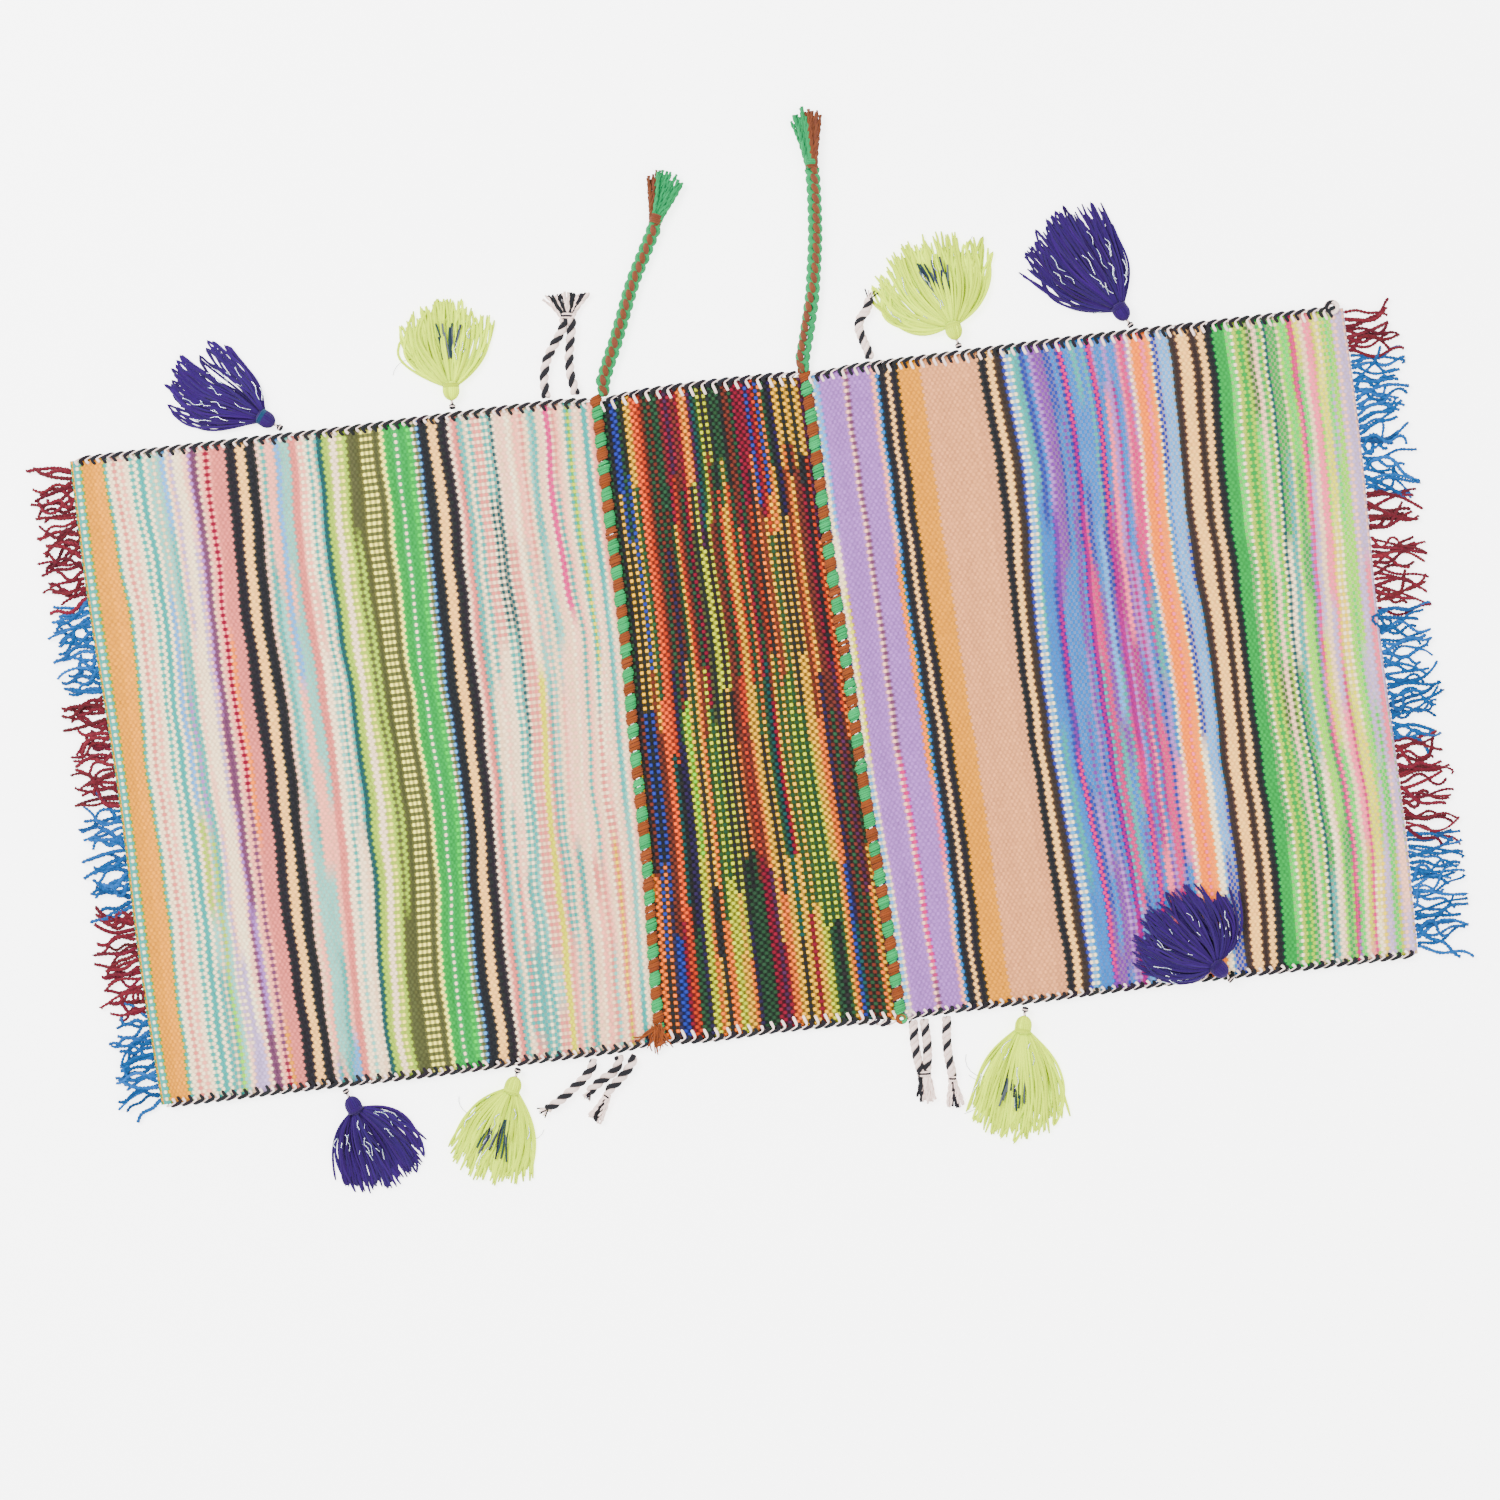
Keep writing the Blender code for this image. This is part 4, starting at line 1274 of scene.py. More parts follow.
@dataclass
class Fringe:
    """One group of plied, curling fringe cords along a pouch's fold.

    Attributes:
        name: The node it stands for.
        side: LEFT or RIGHT.
        start: Where it starts, from the far edge.
        end: Where it ends.
        tint: Its dye.
        length: How far its cords reach.
        spacing: Distance between cords.
        radius: A cord's radius.
    """

    name: str
    side: int
    start: float
    end: float
    tint: tuple[int, int, int]
    length: float
    spacing: float = 3.1 * MM
    radius: float = 2.25 * MM

    def cord_path(self, rng: np.random.Generator, y: float) -> np.ndarray:
        """Centre line of one cord, which curls and comes down to the floor."""
        length = self.length * rng.uniform(0.72, 1.12)
        heading = rng.normal(0.0, 0.26)
        curl = rng.normal(0.0, 0.5)
        kink = rng.normal(0.0, 0.55)
        steps = np.linspace(0.0, 1.0, 22)
        angle = heading + curl * steps ** 1.5 + kink * np.sin(steps * rng.uniform(5.0, 11.0))
        stride = length * 1.04 / len(steps)
        x = np.cumsum(np.cos(angle)) * stride
        side_step = np.cumsum(np.sin(angle)) * stride
        limit = self.length + 2.0 * MM
        x = np.where(x > limit, 2 * limit - x, x)
        rest = self.radius + 0.3 * MM
        level = rng.uniform(0.0, 4.5) * MM
        z = rest + (OUTLINE.middle_z - rest) * (1 - smoothstep(steps, 0.0, 0.25))
        z = z + level * np.sin(math.pi * steps) * smoothstep(steps, 0.0, 0.3)
        z = z + 0.0006 * np.sin(9 * steps + heading)
        base = float(OUTLINE.fold(self.side, y)) - self.side * 1.5 * MM
        return np.stack([base + self.side * x, y + side_step, np.maximum(z, rest)], axis=1)

    def build(self) -> bpy.types.Object:
        """Ply and lay every cord of the group."""
        rng = np.random.default_rng(hash_of(self.name))
        skein = Skein()
        dye = dyed(self.tint)
        far, near = OUTLINE.half_width - self.start, OUTLINE.half_width - self.end
        count = max(3, round((far - near) / self.spacing))
        for number in range(count):
            y = far + (near - far) * (number + 0.5) / count + 0.001 * rng.standard_normal()
            tint = varied(rng, dye, 0.2)
            skein.twisted(self.cord_path(rng, y), self.radius * rng.uniform(0.85, 1.15),
                          [tint, tint * 0.82], lay=rng.uniform(5.0, 7.0) * MM, sides=5,
                          start=rng.uniform(0, math.tau), thin=0.8)
        piece = skein.build(self.name + "_cords", "fringe")
        slot = "red_fringe" if "red" in self.name else "blue_fringe"
        return dress(piece, f"{SIDE_NAME[self.side]}_pouch", slot, self.name)


RED_FRINGE, BLUE_FRINGE = (146, 46, 58), (58, 130, 186)
FRINGE_SPANS = {
    LEFT: ((0.006, 0.118), (0.118, 0.200), (0.200, 0.298), (0.298, 0.385), (0.385, 0.474), (0.474, 0.548)),
    RIGHT: ((0.004, 0.040), (0.040, 0.156), (0.156, 0.258), (0.258, 0.369), (0.369, 0.447), (0.447, 0.548)),
}
FRINGE_LENGTH = {LEFT: 0.037, RIGHT: 0.046}


def build_fringes() -> None:
    """Fringe groups of both folds, red and blue in turn from the far edge."""
    for side, spans in FRINGE_SPANS.items():
        for number, (start, end) in enumerate(spans):
            word, tint = ("red", RED_FRINGE) if number % 2 == 0 else ("blue", BLUE_FRINGE)
            name = f"{SIDE_NAME[side]}_fringe_{word}_{number // 2 + 1}"
            Fringe(name, side, start, end, tint, FRINGE_LENGTH[side]).build()


# ---------------------------------------------------------------- tassels


class TasselYarn(Enum):
    """The two sorts of tassel."""

    LIME = (218, 219, 60)
    PURPLE = (56, 40, 130)


@dataclass
class Tassel:
    """A tassel on a short cord: tied head, spread skirt and strands of tinsel.

    Attributes:
        name: The node it stands for.
        yarn: Which sort it is.
        heading: Direction it points in, in degrees from +X.
        reach: Hinge line to its tips.
        fan: How far its outermost strands turn from that direction, to the right and to the left.
        floor: Height of what it lies on.
        strands: How many strands its skirt has.
        looped: Share of strands that return in a loop.
        head: Radius of the tied head.
        neck: Half the width of the neck.
        cord: Hinge line to the head.
    """

    name: str
    yarn: TasselYarn
    heading: float
    reach: float
    fan: tuple[float, float]
    floor: float = 0.0
    strands: int = 150
    looped: float = 0.1
    head: float = 6.2 * MM
    neck: float = 5.2 * MM
    cord: float = 7.0 * MM

    def hinge(self) -> np.ndarray:
        """The point that it swings about."""
        return np.array(joint_line(self.name + "_swing")[0])

    def laid(self, local: np.ndarray) -> np.ndarray:
        """Turn points from along, across and height above what it lies on into the frame."""
        angle = math.radians(self.heading)
        hinge = self.hinge()
        x = hinge[0] + local[:, 0] * math.cos(angle) - local[:, 1] * math.sin(angle)
        y = hinge[1] + local[:, 0] * math.sin(angle) + local[:, 1] * math.cos(angle)
        return np.stack([x, y, self.floor + local[:, 2]], axis=1)

    def strand_path(self, rng: np.random.Generator, start: float, ruffle: float) -> np.ndarray:
        """One skirt strand from the neck out to the tips.

        Args:
            rng: Random draws.
            start: Distance of the neck from the hinge.
            ruffle: How much the strand wavers.

        Returns:
            Its centre line in the tassel's own axes.
        """
        steps = np.linspace(0.0, 1.0, 15)
        fan = rng.uniform(-1.0, 1.0)
        fan = 0.75 * fan + 0.25 * fan ** 3
        angle = math.radians(fan * (self.fan[1] if fan > 0 else self.fan[0]) + rng.normal(0.0, 3.0))
        length = (self.reach - start) * rng.uniform(0.78, 1.04) * (1.0 - 0.10 * fan ** 2)
        layer = rng.random()
        bend = 1.75 - 1.35 * smoothstep(steps, 0.0, 0.9) + 0.20 * rng.standard_normal() * steps ** 2
        turned = angle * bend
        stride = np.where(steps > 0.0, length / 14.0, 0.0)
        along = start - 0.8 * MM + np.cumsum(np.cos(turned) * stride)
        across = fan * self.neck + np.cumsum(np.sin(turned) * stride)
        across = across + ruffle * np.sin(steps * rng.uniform(4, 9) + rng.uniform(0, 6)) * steps
        pile = self.neck * 1.3 + 4.4 * MM * np.sin(math.pi * np.minimum(steps * 1.4, 1.0))
        top = pile * (1.0 - 0.70 * steps ** 1.6) * math.sqrt(max(0.08, 1.0 - 0.75 * fan ** 2))
        height = 1.2 * MM + layer * top + ruffle * 0.5 * np.cos(steps * rng.uniform(3, 8)) * steps
        return np.stack([along, across, np.maximum(height, 1.2 * MM)], axis=1)

    def build(self) -> None:
        """Build the yarn, the tinsel and the hanger."""
        rng = np.random.default_rng(hash_of(self.name))
        dye = dyed(self.yarn.value)
        start = self.cord + 2.0 * self.head
        skirt = Skein()
        for _ in range(self.strands):
            path = self.strand_path(rng, start, 1.5 * MM)
            if rng.random() < self.looped:
                back = path[::-1].copy()
                bulge = np.sin(math.pi * np.linspace(1, 0, 15) ** 2)
                back[:, 1] += (5.0 * MM + 4.0 * MM * rng.random()) * bulge
                bend = np.array([[path[-1, 0] + 2.0 * MM, (path[-1, 1] + back[0, 1]) / 2, path[-1, 2]]])
                path = smooth_path(np.vstack([path[:-1], bend, back[1:]])[::2], 4.0 * MM)
            size = 1.25 * MM if self.yarn is TasselYarn.LIME else 1.1 * MM
            taper = np.concatenate([np.full(len(path) - 1, size), [size * 0.55]])
            skirt.tube(self.laid(path), taper, varied(rng, dye, 0.13), sides=5)
        if self.yarn is TasselYarn.LIME:
            self.add_core(skirt, rng, start)
        self.add_head(skirt, rng, dye, start)
        yarn = skirt.build(self.name + "_yarn", "tassel")
        slot = "lime_yarn" if self.yarn is TasselYarn.LIME else "purple_yarn"
        dress(yarn, self.name, slot, self.name)
        self.add_tinsel(rng, start, slot)
        self.add_hanger()

    def add_core(self, skirt: Skein, rng: np.random.Generator, start: float) -> None:
        """Dark strands that show where the skirt parts, and fine dark hairs round it."""
        for number in range(12):
            steps = np.linspace(0.30, 0.30 + rng.uniform(0.25, 0.45), 7)
            angle = math.radians(rng.uniform(-15.0, 15.0))
            length = self.reach - start
            path = np.stack([start + length * steps * math.cos(angle), length * steps * math.sin(angle)
                             + 1.0 * MM * np.sin(9.0 * steps + number), 10.5 * MM - 5.0 * MM * steps], axis=1)
            tint = dyed(((48, 84, 88), (38, 52, 92), (120, 130, 134))[number % 3])
            skirt.tube(self.laid(path), 0.9 * MM, varied(rng, tint, 0.2), sides=5)
        for number in range(7):
            steps = np.linspace(0.0, 1.0, 16)
            angle = math.radians(rng.uniform(-self.fan[0], self.fan[1]))
            curl = rng.normal(0.0, 1.6)
            turned = angle + curl * steps ** 2
            length = (self.reach - start) * rng.uniform(0.75, 1.0)
            path = np.stack([start + np.cumsum(np.cos(turned)) * length / 16,
                             np.cumsum(np.sin(turned)) * length / 16,
                             8.0 * MM * (1 - steps) + 0.5 * MM], axis=1)
            skirt.tube(self.laid(path), 0.22 * MM, dyed((60, 60, 66)), sides=4)

    def add_head(self, skirt: Skein, rng: np.random.Generator, dye: np.ndarray, start: float) -> None:
        """Yarn drawn over the head in arcs, and wound round the neck."""
        middle = self.cord + 1.2 * self.head
        height = self.head + 0.6 * MM
        steps = np.linspace(0.0, 1.0, 11)
        for number in range(22):
            turn = math.tau * number / 22
            round_head = math.pi * (0.04 + 0.80 * steps)
            radius = self.head * np.sin(round_head)
            path = np.stack([middle - 1.25 * self.head * np.cos(round_head),
                             radius * math.cos(turn),
                             height + radius * math.sin(turn)], axis=1)
            skirt.tube(self.laid(path), 1.15 * MM, varied(rng, dye, 0.12), sides=5)
        wrap = dyed((30, 92, 130)) if self.looped > 0.5 else dye * 0.85
        turns = circle(14)
        for number in range(3):
            along = start - 2.2 * MM + 1.1 * MM * number
            ring = np.stack([np.full_like(turns, along), (self.neck + 1.3 * MM) * np.cos(turns),
                             height + (self.neck + 1.3 * MM) * np.sin(turns)], axis=1)
            skirt.tube(self.laid(ring), 0.8 * MM, varied(rng, wrap, 0.1), sides=5, closed=True)

    def add_tinsel(self, rng: np.random.Generator, start: float, slot: str) -> None:
        """Thin glinting threads among the strands, some curled up at their ends."""
        tinsel = Skein()
        purple = self.yarn is TasselYarn.PURPLE
        for _ in range(24 if purple else 12):
            path = self.strand_path(rng, start, 1.0 * MM)
            first = int(rng.integers(2, 10))
            path = path[first:first + int(rng.integers(2, 5))].copy()
            path[:, 2] = np.maximum(path[:, 2], 5.0 * MM) + rng.uniform(1.5, 4.5) * MM
            steps = np.linspace(0.0, 1.0, len(path))
            path[:, 1] += 1.4 * MM * np.sin(steps * rng.uniform(3, 8) + rng.uniform(0, 6))
            tinsel.tube(self.laid(smooth_path(path, 1.6 * MM)), 0.38 * MM, np.ones(3), sides=4, flat=0.35)
        dress(tinsel.build(self.name + "_tinsel", "tinsel"), self.name, slot)

    def add_hanger(self) -> None:
        """Short black and white cord with a knot on the edge."""
        hanger = Skein()
        hinge_height = self.hinge()[2] - self.floor
        target = self.head + 0.4 * MM
        steps = np.linspace(0.0, 1.0, 8)[:, None]
        first, last = np.array([[0.0, 0.0, hinge_height]]), np.array([[self.cord + 1.6 * MM, 0.0, target]])
        path = first + (last - first) * steps
        hanger.twisted(self.laid(path), 1.5 * MM, [BLACK_YARN, WHITE_YARN], lay=6.0 * MM, sides=6)
        turns = circle(12)
        for number in range(3):
            ring = np.stack([(-0.6 + 0.9 * number) * MM + 0.4 * MM * np.sin(turns), 2.0 * MM * np.cos(turns),
                             hinge_height + 2.0 * MM * np.sin(turns)], axis=1)
            hanger.tube(self.laid(ring), 0.9 * MM, BLACK_YARN if number % 2 == 0 else WHITE_YARN,
                        sides=6, closed=True)
        piece = hanger.build(self.name + "_hanger_cord", "overcast")
        dress(piece, self.name, "overcast_cord", self.name + "_hanger")


def build_tassels() -> None:
    """Four purple and four lime tassels; one purple one is turned back onto its pouch."""
    lime, purple = TasselYarn.LIME, TasselYarn.PURPLE
    tassels = (
        Tassel("purple_tassel_left_far", purple, 142.0, 0.102, (32.0, 26.0), looped=0.75, strands=78),
        Tassel("lime_tassel_left_far", lime, 87.0, 0.091, (34.0, 38.0)),
        Tassel("lime_tassel_right_far", lime, 100.0, 0.099, (42.0, 56.0), strands=190),
        Tassel("purple_tassel_right_far", purple, 117.0, 0.113, (26.0, 34.0), looped=0.3, strands=160),
        Tassel("purple_tassel_left_near", purple, -70.0, 0.091, (37.0, 38.0), looped=0.1),
        Tassel("lime_tassel_left_near", lime, -114.0, 0.099, (27.0, 30.0)),
        Tassel("lime_tassel_right_near", lime, -104.0, 0.110, (25.0, 29.0), strands=170),
        Tassel("purple_tassel_right_near", purple, 130.0, 0.092, (58.0, 50.0), floor=0.0062, looped=0.1),
    )
    for tassel in tassels:
        tassel.build()


# ---------------------------------------------------------------- ties and braids


@dataclass(frozen=True)
class Route:
    """A free cord's line on the floor.

    Attributes:
        name: The node it stands for.
        side: Which seam its distances are measured from.
        edge: Which long edge it leaves.
        stops: Distances from the seam and from the edge's outer face.
        radius: The cord's radius.
    """

    name: str
    side: int
    edge: int
    stops: tuple[tuple[float, float], ...]
    radius: float

    def points(self) -> np.ndarray:
        """The route's places, as the frame's own solid follows them."""
        rim = OUTLINE.half_width + 0.0055
        places = []
        for from_seam, from_edge in self.stops:
            x = float(OUTLINE.straight_seam(self.side, self.edge * rim)) + self.side * from_seam
            places.append((x, self.edge * (rim + 0.0003 + from_edge), self.radius + 0.0003))
        return np.array(places)

    def path(self, spacing: float = 1.5 * MM) -> np.ndarray:
        """A smooth line through the route's places."""
        return smooth_path(self.points(), spacing)

    def body(self) -> str:
        """The body that carries the cord."""
        return "centre" if "braid" in self.name else f"{SIDE_NAME[self.side]}_pouch"


TIE, BRAID = 3.2 * MM, 5.6 * MM


def read_route(line: str) -> Route:
    """Read a route: its name, then its stops in millimetres from the seam and from the edge."""
    name, *stops = line.split()
    pairs = tuple(tuple(round(float(number) * MM, 5) for number in stop.split(",")) for stop in stops)
    return Route(name, LEFT if name.startswith("left") else RIGHT, NEAR if "near" in name else FAR,
                 pairs, BRAID if "braid" in name else TIE)


ROUTES = tuple(map(read_route, """\
left_far_tie_1 41.2,0 41.2,4 41,16 36.8,31 28.5,44 21.5,54 18.6,59.5 18.3,63.7
left_far_tie_2 16.3,0 16.3,4 18.2,16 17.8,30 15,45 12.4,57 12.1,63.7
right_far_tie 56.4,0 56.4,4 52.8,16 50.6,26 53,34.5 59,41 62,50
left_near_tie_1 58.6,0 58.6,4 66,13 77,21.5 89,30 101.4,36.6
left_near_tie_2 36.2,0 36.2,4 42,12 53,18 64,26
left_near_tie_3 24.4,0 24.4,4 31,13 40,21 46.4,26 49.1,30.2
right_near_tie_1 8.5,0 8.5,4 7.8,18 8.6,32 9.6,38 9.6,43
right_near_tie_2 18,0 18,4 18.4,18 17.2,32 15.8,38 15.8,43
right_near_tie_3 37,0 37,4 35.2,18 35,34 36,44 36,50
left_braid -8.1,0 -8.1,6 -14.8,22 -22.8,39 -33,63 -43.2,87 -55,109 -66,129.2 -68.1,134.8
right_braid 0,0 0,6 6.2,27 13.8,55.5 18.6,81 22.8,107 25.8,137 27.1,159.2 27.1,165.2
""".splitlines()))


@dataclass
class Tuft:
    """A wrapped brush of cut yarn on the ends of one or two cords.

    Attributes:
        name: The node it stands for.
        routes: The cords it closes.
        length: Wrap to tips.
        spread: Half its width at the tips.
        tints: Colour of the strands, from one side to the other.
        wrap: Colours of the wrapping, from the cord outward.
        strands: How many strands it has.
    """

    name: str
    routes: tuple[Route, ...]
    length: float
    spread: float
    tints: tuple[np.ndarray, ...]
    wrap: tuple[np.ndarray, ...]
    strands: int = 16

    def build(self) -> bpy.types.Object:
        """Wrap the cord ends and spread the brush."""
        rng = np.random.default_rng(hash_of(self.name))
        radius = self.routes[0].radius
        root = np.mean([route.points()[-1] for route in self.routes], axis=0)
        along, across = end_axes(*self.routes[0].points()[-2:])
        brush = Skein()
        wide = radius * (0.8 if len(self.routes) == 1 else 1.6)
        turns = circle(14)
        for number, tint in enumerate(self.wrap):
            centre = root + along * (0.6 + 1.5 * number) * MM
            ring = (centre + np.outer(np.cos(turns), across) * (wide + 0.2 * MM)
                    + np.outer(np.sin(turns), [0.0, 0.0, 1.0]) * radius * 0.9
                    + np.outer(np.sin(turns + 1.0), along) * 0.5 * MM)
            ring[:, 2] = np.maximum(ring[:, 2], 1.1 * MM)
            brush.tube(ring, 0.95 * MM, varied(rng, tint, 0.08), sides=6, closed=True)
        size = 2.6 * MM if radius > 4 * MM else 1.9 * MM
        steps = np.linspace(0.0, 1.0, 12)
        for number in range(self.strands):
            fan = (number + 0.5) / self.strands * 2.0 - 1.0
            tint = self.tints[min(int((fan + 1.0) / 2.0 * len(self.tints)), len(self.tints) - 1)]
            reach = self.length * rng.uniform(0.82, 1.0) * (1.0 - 0.12 * fan ** 2)
            out = fan * (wide * 0.75 * (1 - steps) + self.spread * steps ** 1.1)
            out = out + 0.8 * MM * np.sin(steps * rng.uniform(4, 8) + rng.uniform(0, 6)) * steps
            lift = radius + (rng.uniform(-0.55, 0.6) * radius) * (1.0 - 0.5 * steps)
            path = (root + np.outer(steps * reach, along) + np.outer(out, across))
            path[:, 2] = np.maximum(lift, size + 0.2 * MM)
            width = size * rng.uniform(0.85, 1.1)
            plies = [varied(rng, tint, 0.1), varied(rng, tint, 0.1)]
            brush.twisted(path, width, plies, lay=13.0 * MM, start=rng.uniform(0, math.tau), thin=0.7)
        finish = "lacing" if "braid" in self.name else "overcast"
        slot = "lacing_yarn" if "braid" in self.name else "overcast_cord"
        return dress(brush.build(self.name + "_yarn", finish), self.routes[0].body(), slot, self.name)


@dataclass
class CordWork:
    """The twisted ties and the two braids.

    Attributes:
        green: Dye of the braids' outer strands.
        terracotta: Dye of their inner strands.
        routes: The cords' lines, by name.
        tie_swell: Width of a tie's loose yarn as a share of the cord's.
        tie_lay: Length of one turn of a tie.
        braid_pitch: Length in which a strand swings across and back.
        green_radius: Radius of an outer strand.
        green_swing: How far it swings from the middle.
        brown_radius: Radius of an inner strand.
        brown_swing: How far it swings from the middle.
    """

    green: np.ndarray = field(default_factory=lambda: dyed((52, 172, 118)))
    terracotta: np.ndarray = field(default_factory=lambda: dyed((150, 88, 58)))
    routes: dict[str, Route] = field(default_factory=lambda: {route.name: route for route in ROUTES})
    tie_swell: float = 1.32
    tie_lay: float = 15.0 * MM
    braid_pitch: float = 16.8 * MM
    green_radius: float = 2.9 * MM
    green_swing: float = 3.7 * MM
    brown_radius: float = 2.3 * MM
    brown_swing: float = 1.4 * MM

    def tie(self, route: Route) -> bpy.types.Object:
        """Two-ply black and white cord."""
        skein = Skein()
        rng = np.random.default_rng(hash_of(route.name))
        white = [varied(rng, WHITE_YARN, 0.05), varied(rng, WHITE_YARN, 0.05)]
        tints = [BLACK_YARN, white[0]] if route.side == LEFT else [BLACK_YARN, *white]
        path = route.path(1.2 * MM) + (0.0, 0.0, 0.3 * route.radius)
        skein.twisted(path, self.tie_swell * route.radius, tints, lay=self.tie_lay, sides=8,
                      start=rng.uniform(0, math.tau))
        return skein.build(route.name + "_cord", "overcast")

    def fray(self, route: Route) -> bpy.types.Object:
        """Short loose ends where a cord was cut."""
        skein = Skein()
        rng = np.random.default_rng(hash_of(route.name) + 1)
        path = route.path(1.2 * MM)
        end = path[-1]
        along, across = end_axes(path[-3], end)
        for number in range(11):
            steps = np.linspace(0.0, 1.0, 6)
            fan = rng.normal(0.0, 0.45)
            length = rng.uniform(0.004, 0.009)
            line = end - along * 0.001 + np.outer(steps * length, along + fan * across)
            line[:, 2] = np.clip(end[2] + rng.uniform(-1.5, 1.5) * MM * (1 - 0.3 * steps), 0.8 * MM, None)
            tint = BLACK_YARN if number % 2 else WHITE_YARN
            skein.tube(line, 0.7 * MM, varied(rng, tint), sides=5)
        return dress(skein.build(route.name + "_fray", "overcast"), route.body(), "overcast_cord")

    def braid(self, route: Route) -> bpy.types.Object:
        """Flat braid: green strands that swing from side to side over a terracotta pair."""
        skein = Skein()
        rng = np.random.default_rng(hash_of(route.name))
        path = route.path(1.3 * MM)
        root = path[0] + (0.0, -4.6 * MM * route.edge, 1.2 * MM)
        path = np.vstack([np.linspace(root, path[0], 4)[:-1], path])
        side, up = transported_frames(path)
        gather = 0.5 + 0.5 * smoothstep(np.arange(len(path)), 0.0, 8.0)
        length = travelled(path)
        pace = math.tau * length / self.braid_pitch
        if route.side == LEFT:
            shift = 0.3 * MM * np.sin(40.0 * length)
        else:
            shift = 2.4 * MM - 3.4 * MM * smoothstep(length, 0.25 * length[-1], 0.55 * length[-1])
        for phase in (0.0, math.pi):
            swing = np.sin(pace + phase)
            out = self.green_swing * np.sign(swing) * np.abs(swing) ** 0.4 * gather
            line = path + out[:, None] * side + (0.8 * MM * np.cos(2 * (pace + phase)))[:, None] * up
            line[:, 2] = np.clip(line[:, 2], 3.1 * MM, None)
            size = self.green_radius * (0.84 + 0.16 * np.abs(swing))
            skein.tube(line, size, varied(rng, self.green, 0.06), sides=9)
        for phase in (math.pi / 2, -math.pi / 2):
            out = self.brown_swing * np.sin(pace + phase) + shift
            high = 0.7 * MM + 2.8 * MM * np.cos(pace + phase)
            line = path + out[:, None] * side + high[:, None] * up
            line[:, 2] = np.clip(line[:, 2], 2.6 * MM, None)
            size = self.brown_radius * (1.0 + 0.12 * np.cos(2.0 * (pace + phase)))
            skein.tube(line, size, varied(rng, self.terracotta, 0.06), sides=9)
        return skein.build(route.name + "_cord", "lacing")

    def tufts(self) -> tuple[Tuft, ...]:
        """Every wrapped brush."""
        named = self.routes
        pair = (WHITE_YARN, BLACK_YARN, WHITE_YARN, BLACK_YARN, WHITE_YARN)
        ring = (WHITE_YARN, BLACK_YARN, WHITE_YARN)
        return (
            Tuft("left_far_tie_tuft", (named["left_far_tie_1"], named["left_far_tie_2"]), 0.0240, 0.0205,
                 pair + pair, ring, strands=24),
            Tuft("left_near_tie_tuft", (named["left_near_tie_3"],), 0.0285, 0.0070,
                 (WHITE_YARN, BLACK_YARN, WHITE_YARN), ring, strands=12),
            Tuft("right_near_tie_tuft_1", (named["right_near_tie_1"], named["right_near_tie_2"]), 0.0285,
                 0.0080, (BLACK_YARN, WHITE_YARN, WHITE_YARN, WHITE_YARN), ring, strands=14),
            Tuft("right_near_tie_tuft_2", (named["right_near_tie_3"],), 0.0285, 0.0075,
                 (WHITE_YARN, BLACK_YARN, WHITE_YARN), ring, strands=12),
            Tuft("left_braid_tuft", (named["left_braid"],), 0.0470, 0.0160,
                 (self.green, self.green, self.green, self.green, self.terracotta),
                 (self.terracotta,) * 5, strands=24),
            Tuft("right_braid_tuft", (named["right_braid"],), 0.0535, 0.0125,
                 (self.terracotta, self.terracotta, self.green, self.green),
                 (self.terracotta, self.terracotta, self.green, self.green, self.green), strands=24),
        )

    def build(self) -> None:
        tufts = self.tufts()
        brushes = {tuft.routes[0].name: tuft.build() for tuft in tufts}
        held = {route.name for tuft in tufts for route in tuft.routes}
        for route in ROUTES:
            braided = "braid" in route.name
            piece = self.braid(route) if braided else self.tie(route)
            dress(piece, route.body(), "lacing_yarn" if braided else "overcast_cord", route.name)
            path = route.path()
            brush = brushes.get(route.name) if route.name in held else self.fray(route)


# ---------------------------------------------------------------- studio


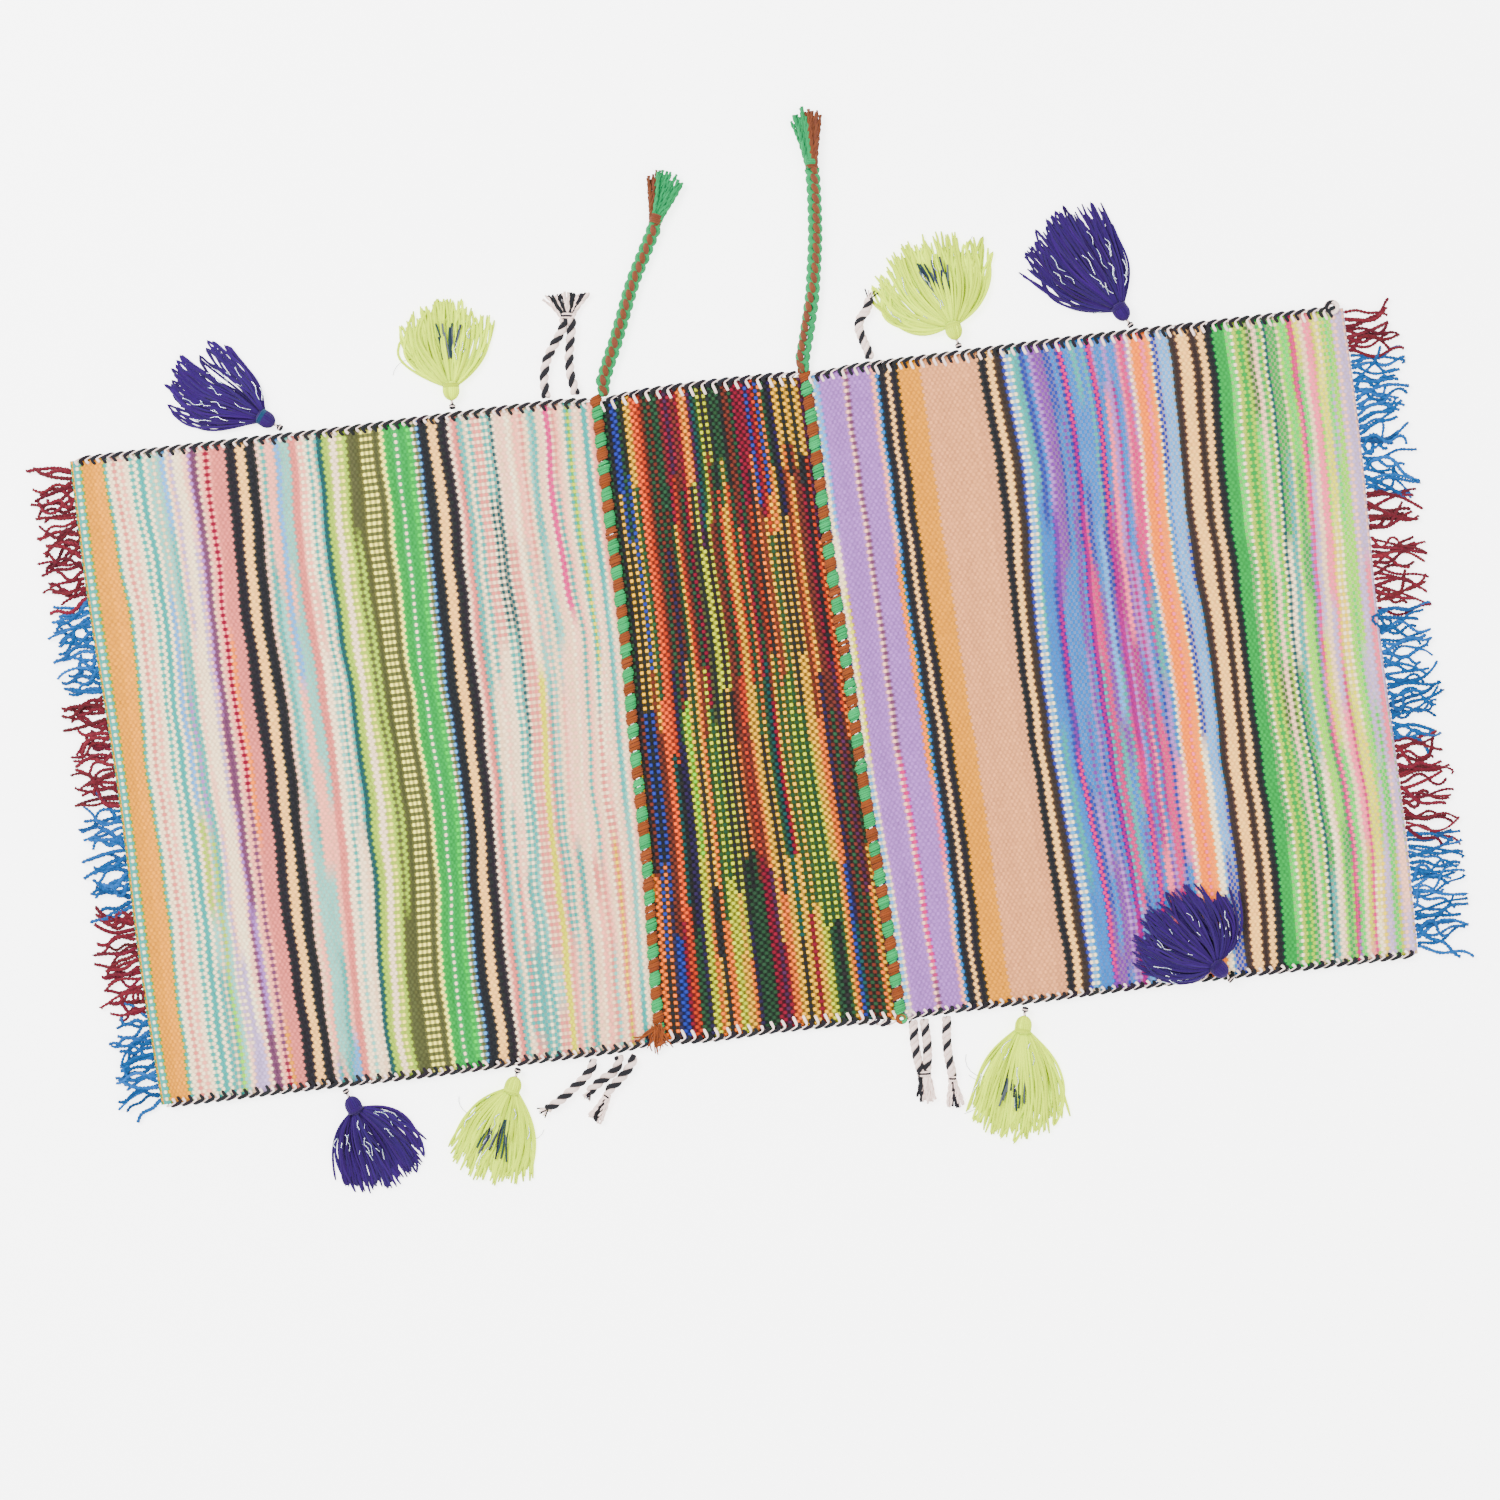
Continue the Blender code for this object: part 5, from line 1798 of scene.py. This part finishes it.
@dataclass
class Studio:
    """Camera straight above, pale floor and soft light.

    Attributes:
        turn: How far the rug lies turned in the view, in degrees.
        centre: Floor point in the middle of the view.
        distance: Camera height.
        field: Floor width that the view takes in.
    """

    turn: float = 6.87
    centre: tuple[float, float] = (-0.0027, -0.0365)
    distance: float = 3.4
    field: float = 1.275

    def build_camera(self) -> None:
        """Create the camera that the rug is seen with."""
        data = bpy.data.cameras.new("overhead_camera")
        data.sensor_width = 36.0
        data.lens = data.sensor_width * self.distance / self.field
        data.clip_end = 50.0
        camera = bpy.data.objects.new("overhead_camera", data)
        camera.location = (*self.centre, self.distance)
        camera.rotation_euler = (0.0, 0.0, -math.radians(self.turn))
        bpy.context.scene.collection.objects.link(camera)
        bpy.context.scene.camera = camera

    def build_floor(self) -> None:
        """Create the floor that the rug lies on."""
        mesh = bpy.data.meshes.new("floor")
        half = 6.0
        mesh.from_pydata([(-half, -half, 0), (half, -half, 0), (half, half, 0), (-half, half, 0)], [],
                         [(0, 1, 2, 3)])
        mesh.materials.append(FINISHES.made["floor"])
        floor = bpy.data.objects.new("floor", mesh)
        floor.location = (0.0, 0.0, -0.0004)
        bpy.context.scene.collection.objects.link(floor)

    def build_lights(self) -> None:
        """Create a broad soft key light, a weak fill and an even sky."""
        for name, power, size, place in (("key", 182.0, 1.5, (-1.5, 1.3, 2.6)),
                                         ("fill", 64.0, 2.6, (1.9, -1.2, 2.6))):
            data = bpy.data.lights.new(name, "AREA")
            data.energy, data.size = power, size
            lamp = bpy.data.objects.new(name, data)
            lamp.location = place
            aim = -np.array(place)
            lamp.rotation_euler = (math.atan2(math.hypot(aim[0], aim[1]), -aim[2]), 0.0,
                                   math.atan2(aim[1], aim[0]) - math.pi / 2)
            bpy.context.scene.collection.objects.link(lamp)
        world = bpy.data.worlds.new("soft_sky")
        world.use_nodes = True
        world.node_tree.nodes["Background"].inputs["Color"].default_value = (1.0, 1.0, 1.0, 1.0)
        world.node_tree.nodes["Background"].inputs["Strength"].default_value = 2.2
        bpy.context.scene.world = world

    def build(self) -> None:
        """Set up the whole studio."""
        self.build_camera()
        self.build_floor()
        self.build_lights()


def main() -> None:
    """Build the studio and then every piece of the rug."""
    logging.basicConfig(level=logging.INFO, format="%(name)s: %(message)s")
    FINISHES.make_all()
    Studio().build()
    CordWork().build()
    CentreCloth().build()
    PouchCloth(LEFT, LEFT_DRAFT[::-1], seed=21).build()
    PouchCloth(RIGHT, RIGHT_DRAFT, seed=22).build()
    for side in (LEFT, RIGHT):
        Lacing(side).build()
    teeth = {"left": (3.6 * MM, 5.4 * MM), "centre": (8.6 * MM, 3.4 * MM), "right": (8.2 * MM, 6.4 * MM)}
    for panel, (white, black) in teeth.items():
        for edge in (FAR, NEAR):
            short = 0.45 if (panel, edge) == ("right", NEAR) else 1.0
            Overcasting(panel, edge, tooth=short * white, black_tooth=short * black).build()
    build_fringes()
    build_tassels()


if __name__ == "__main__":
    main()
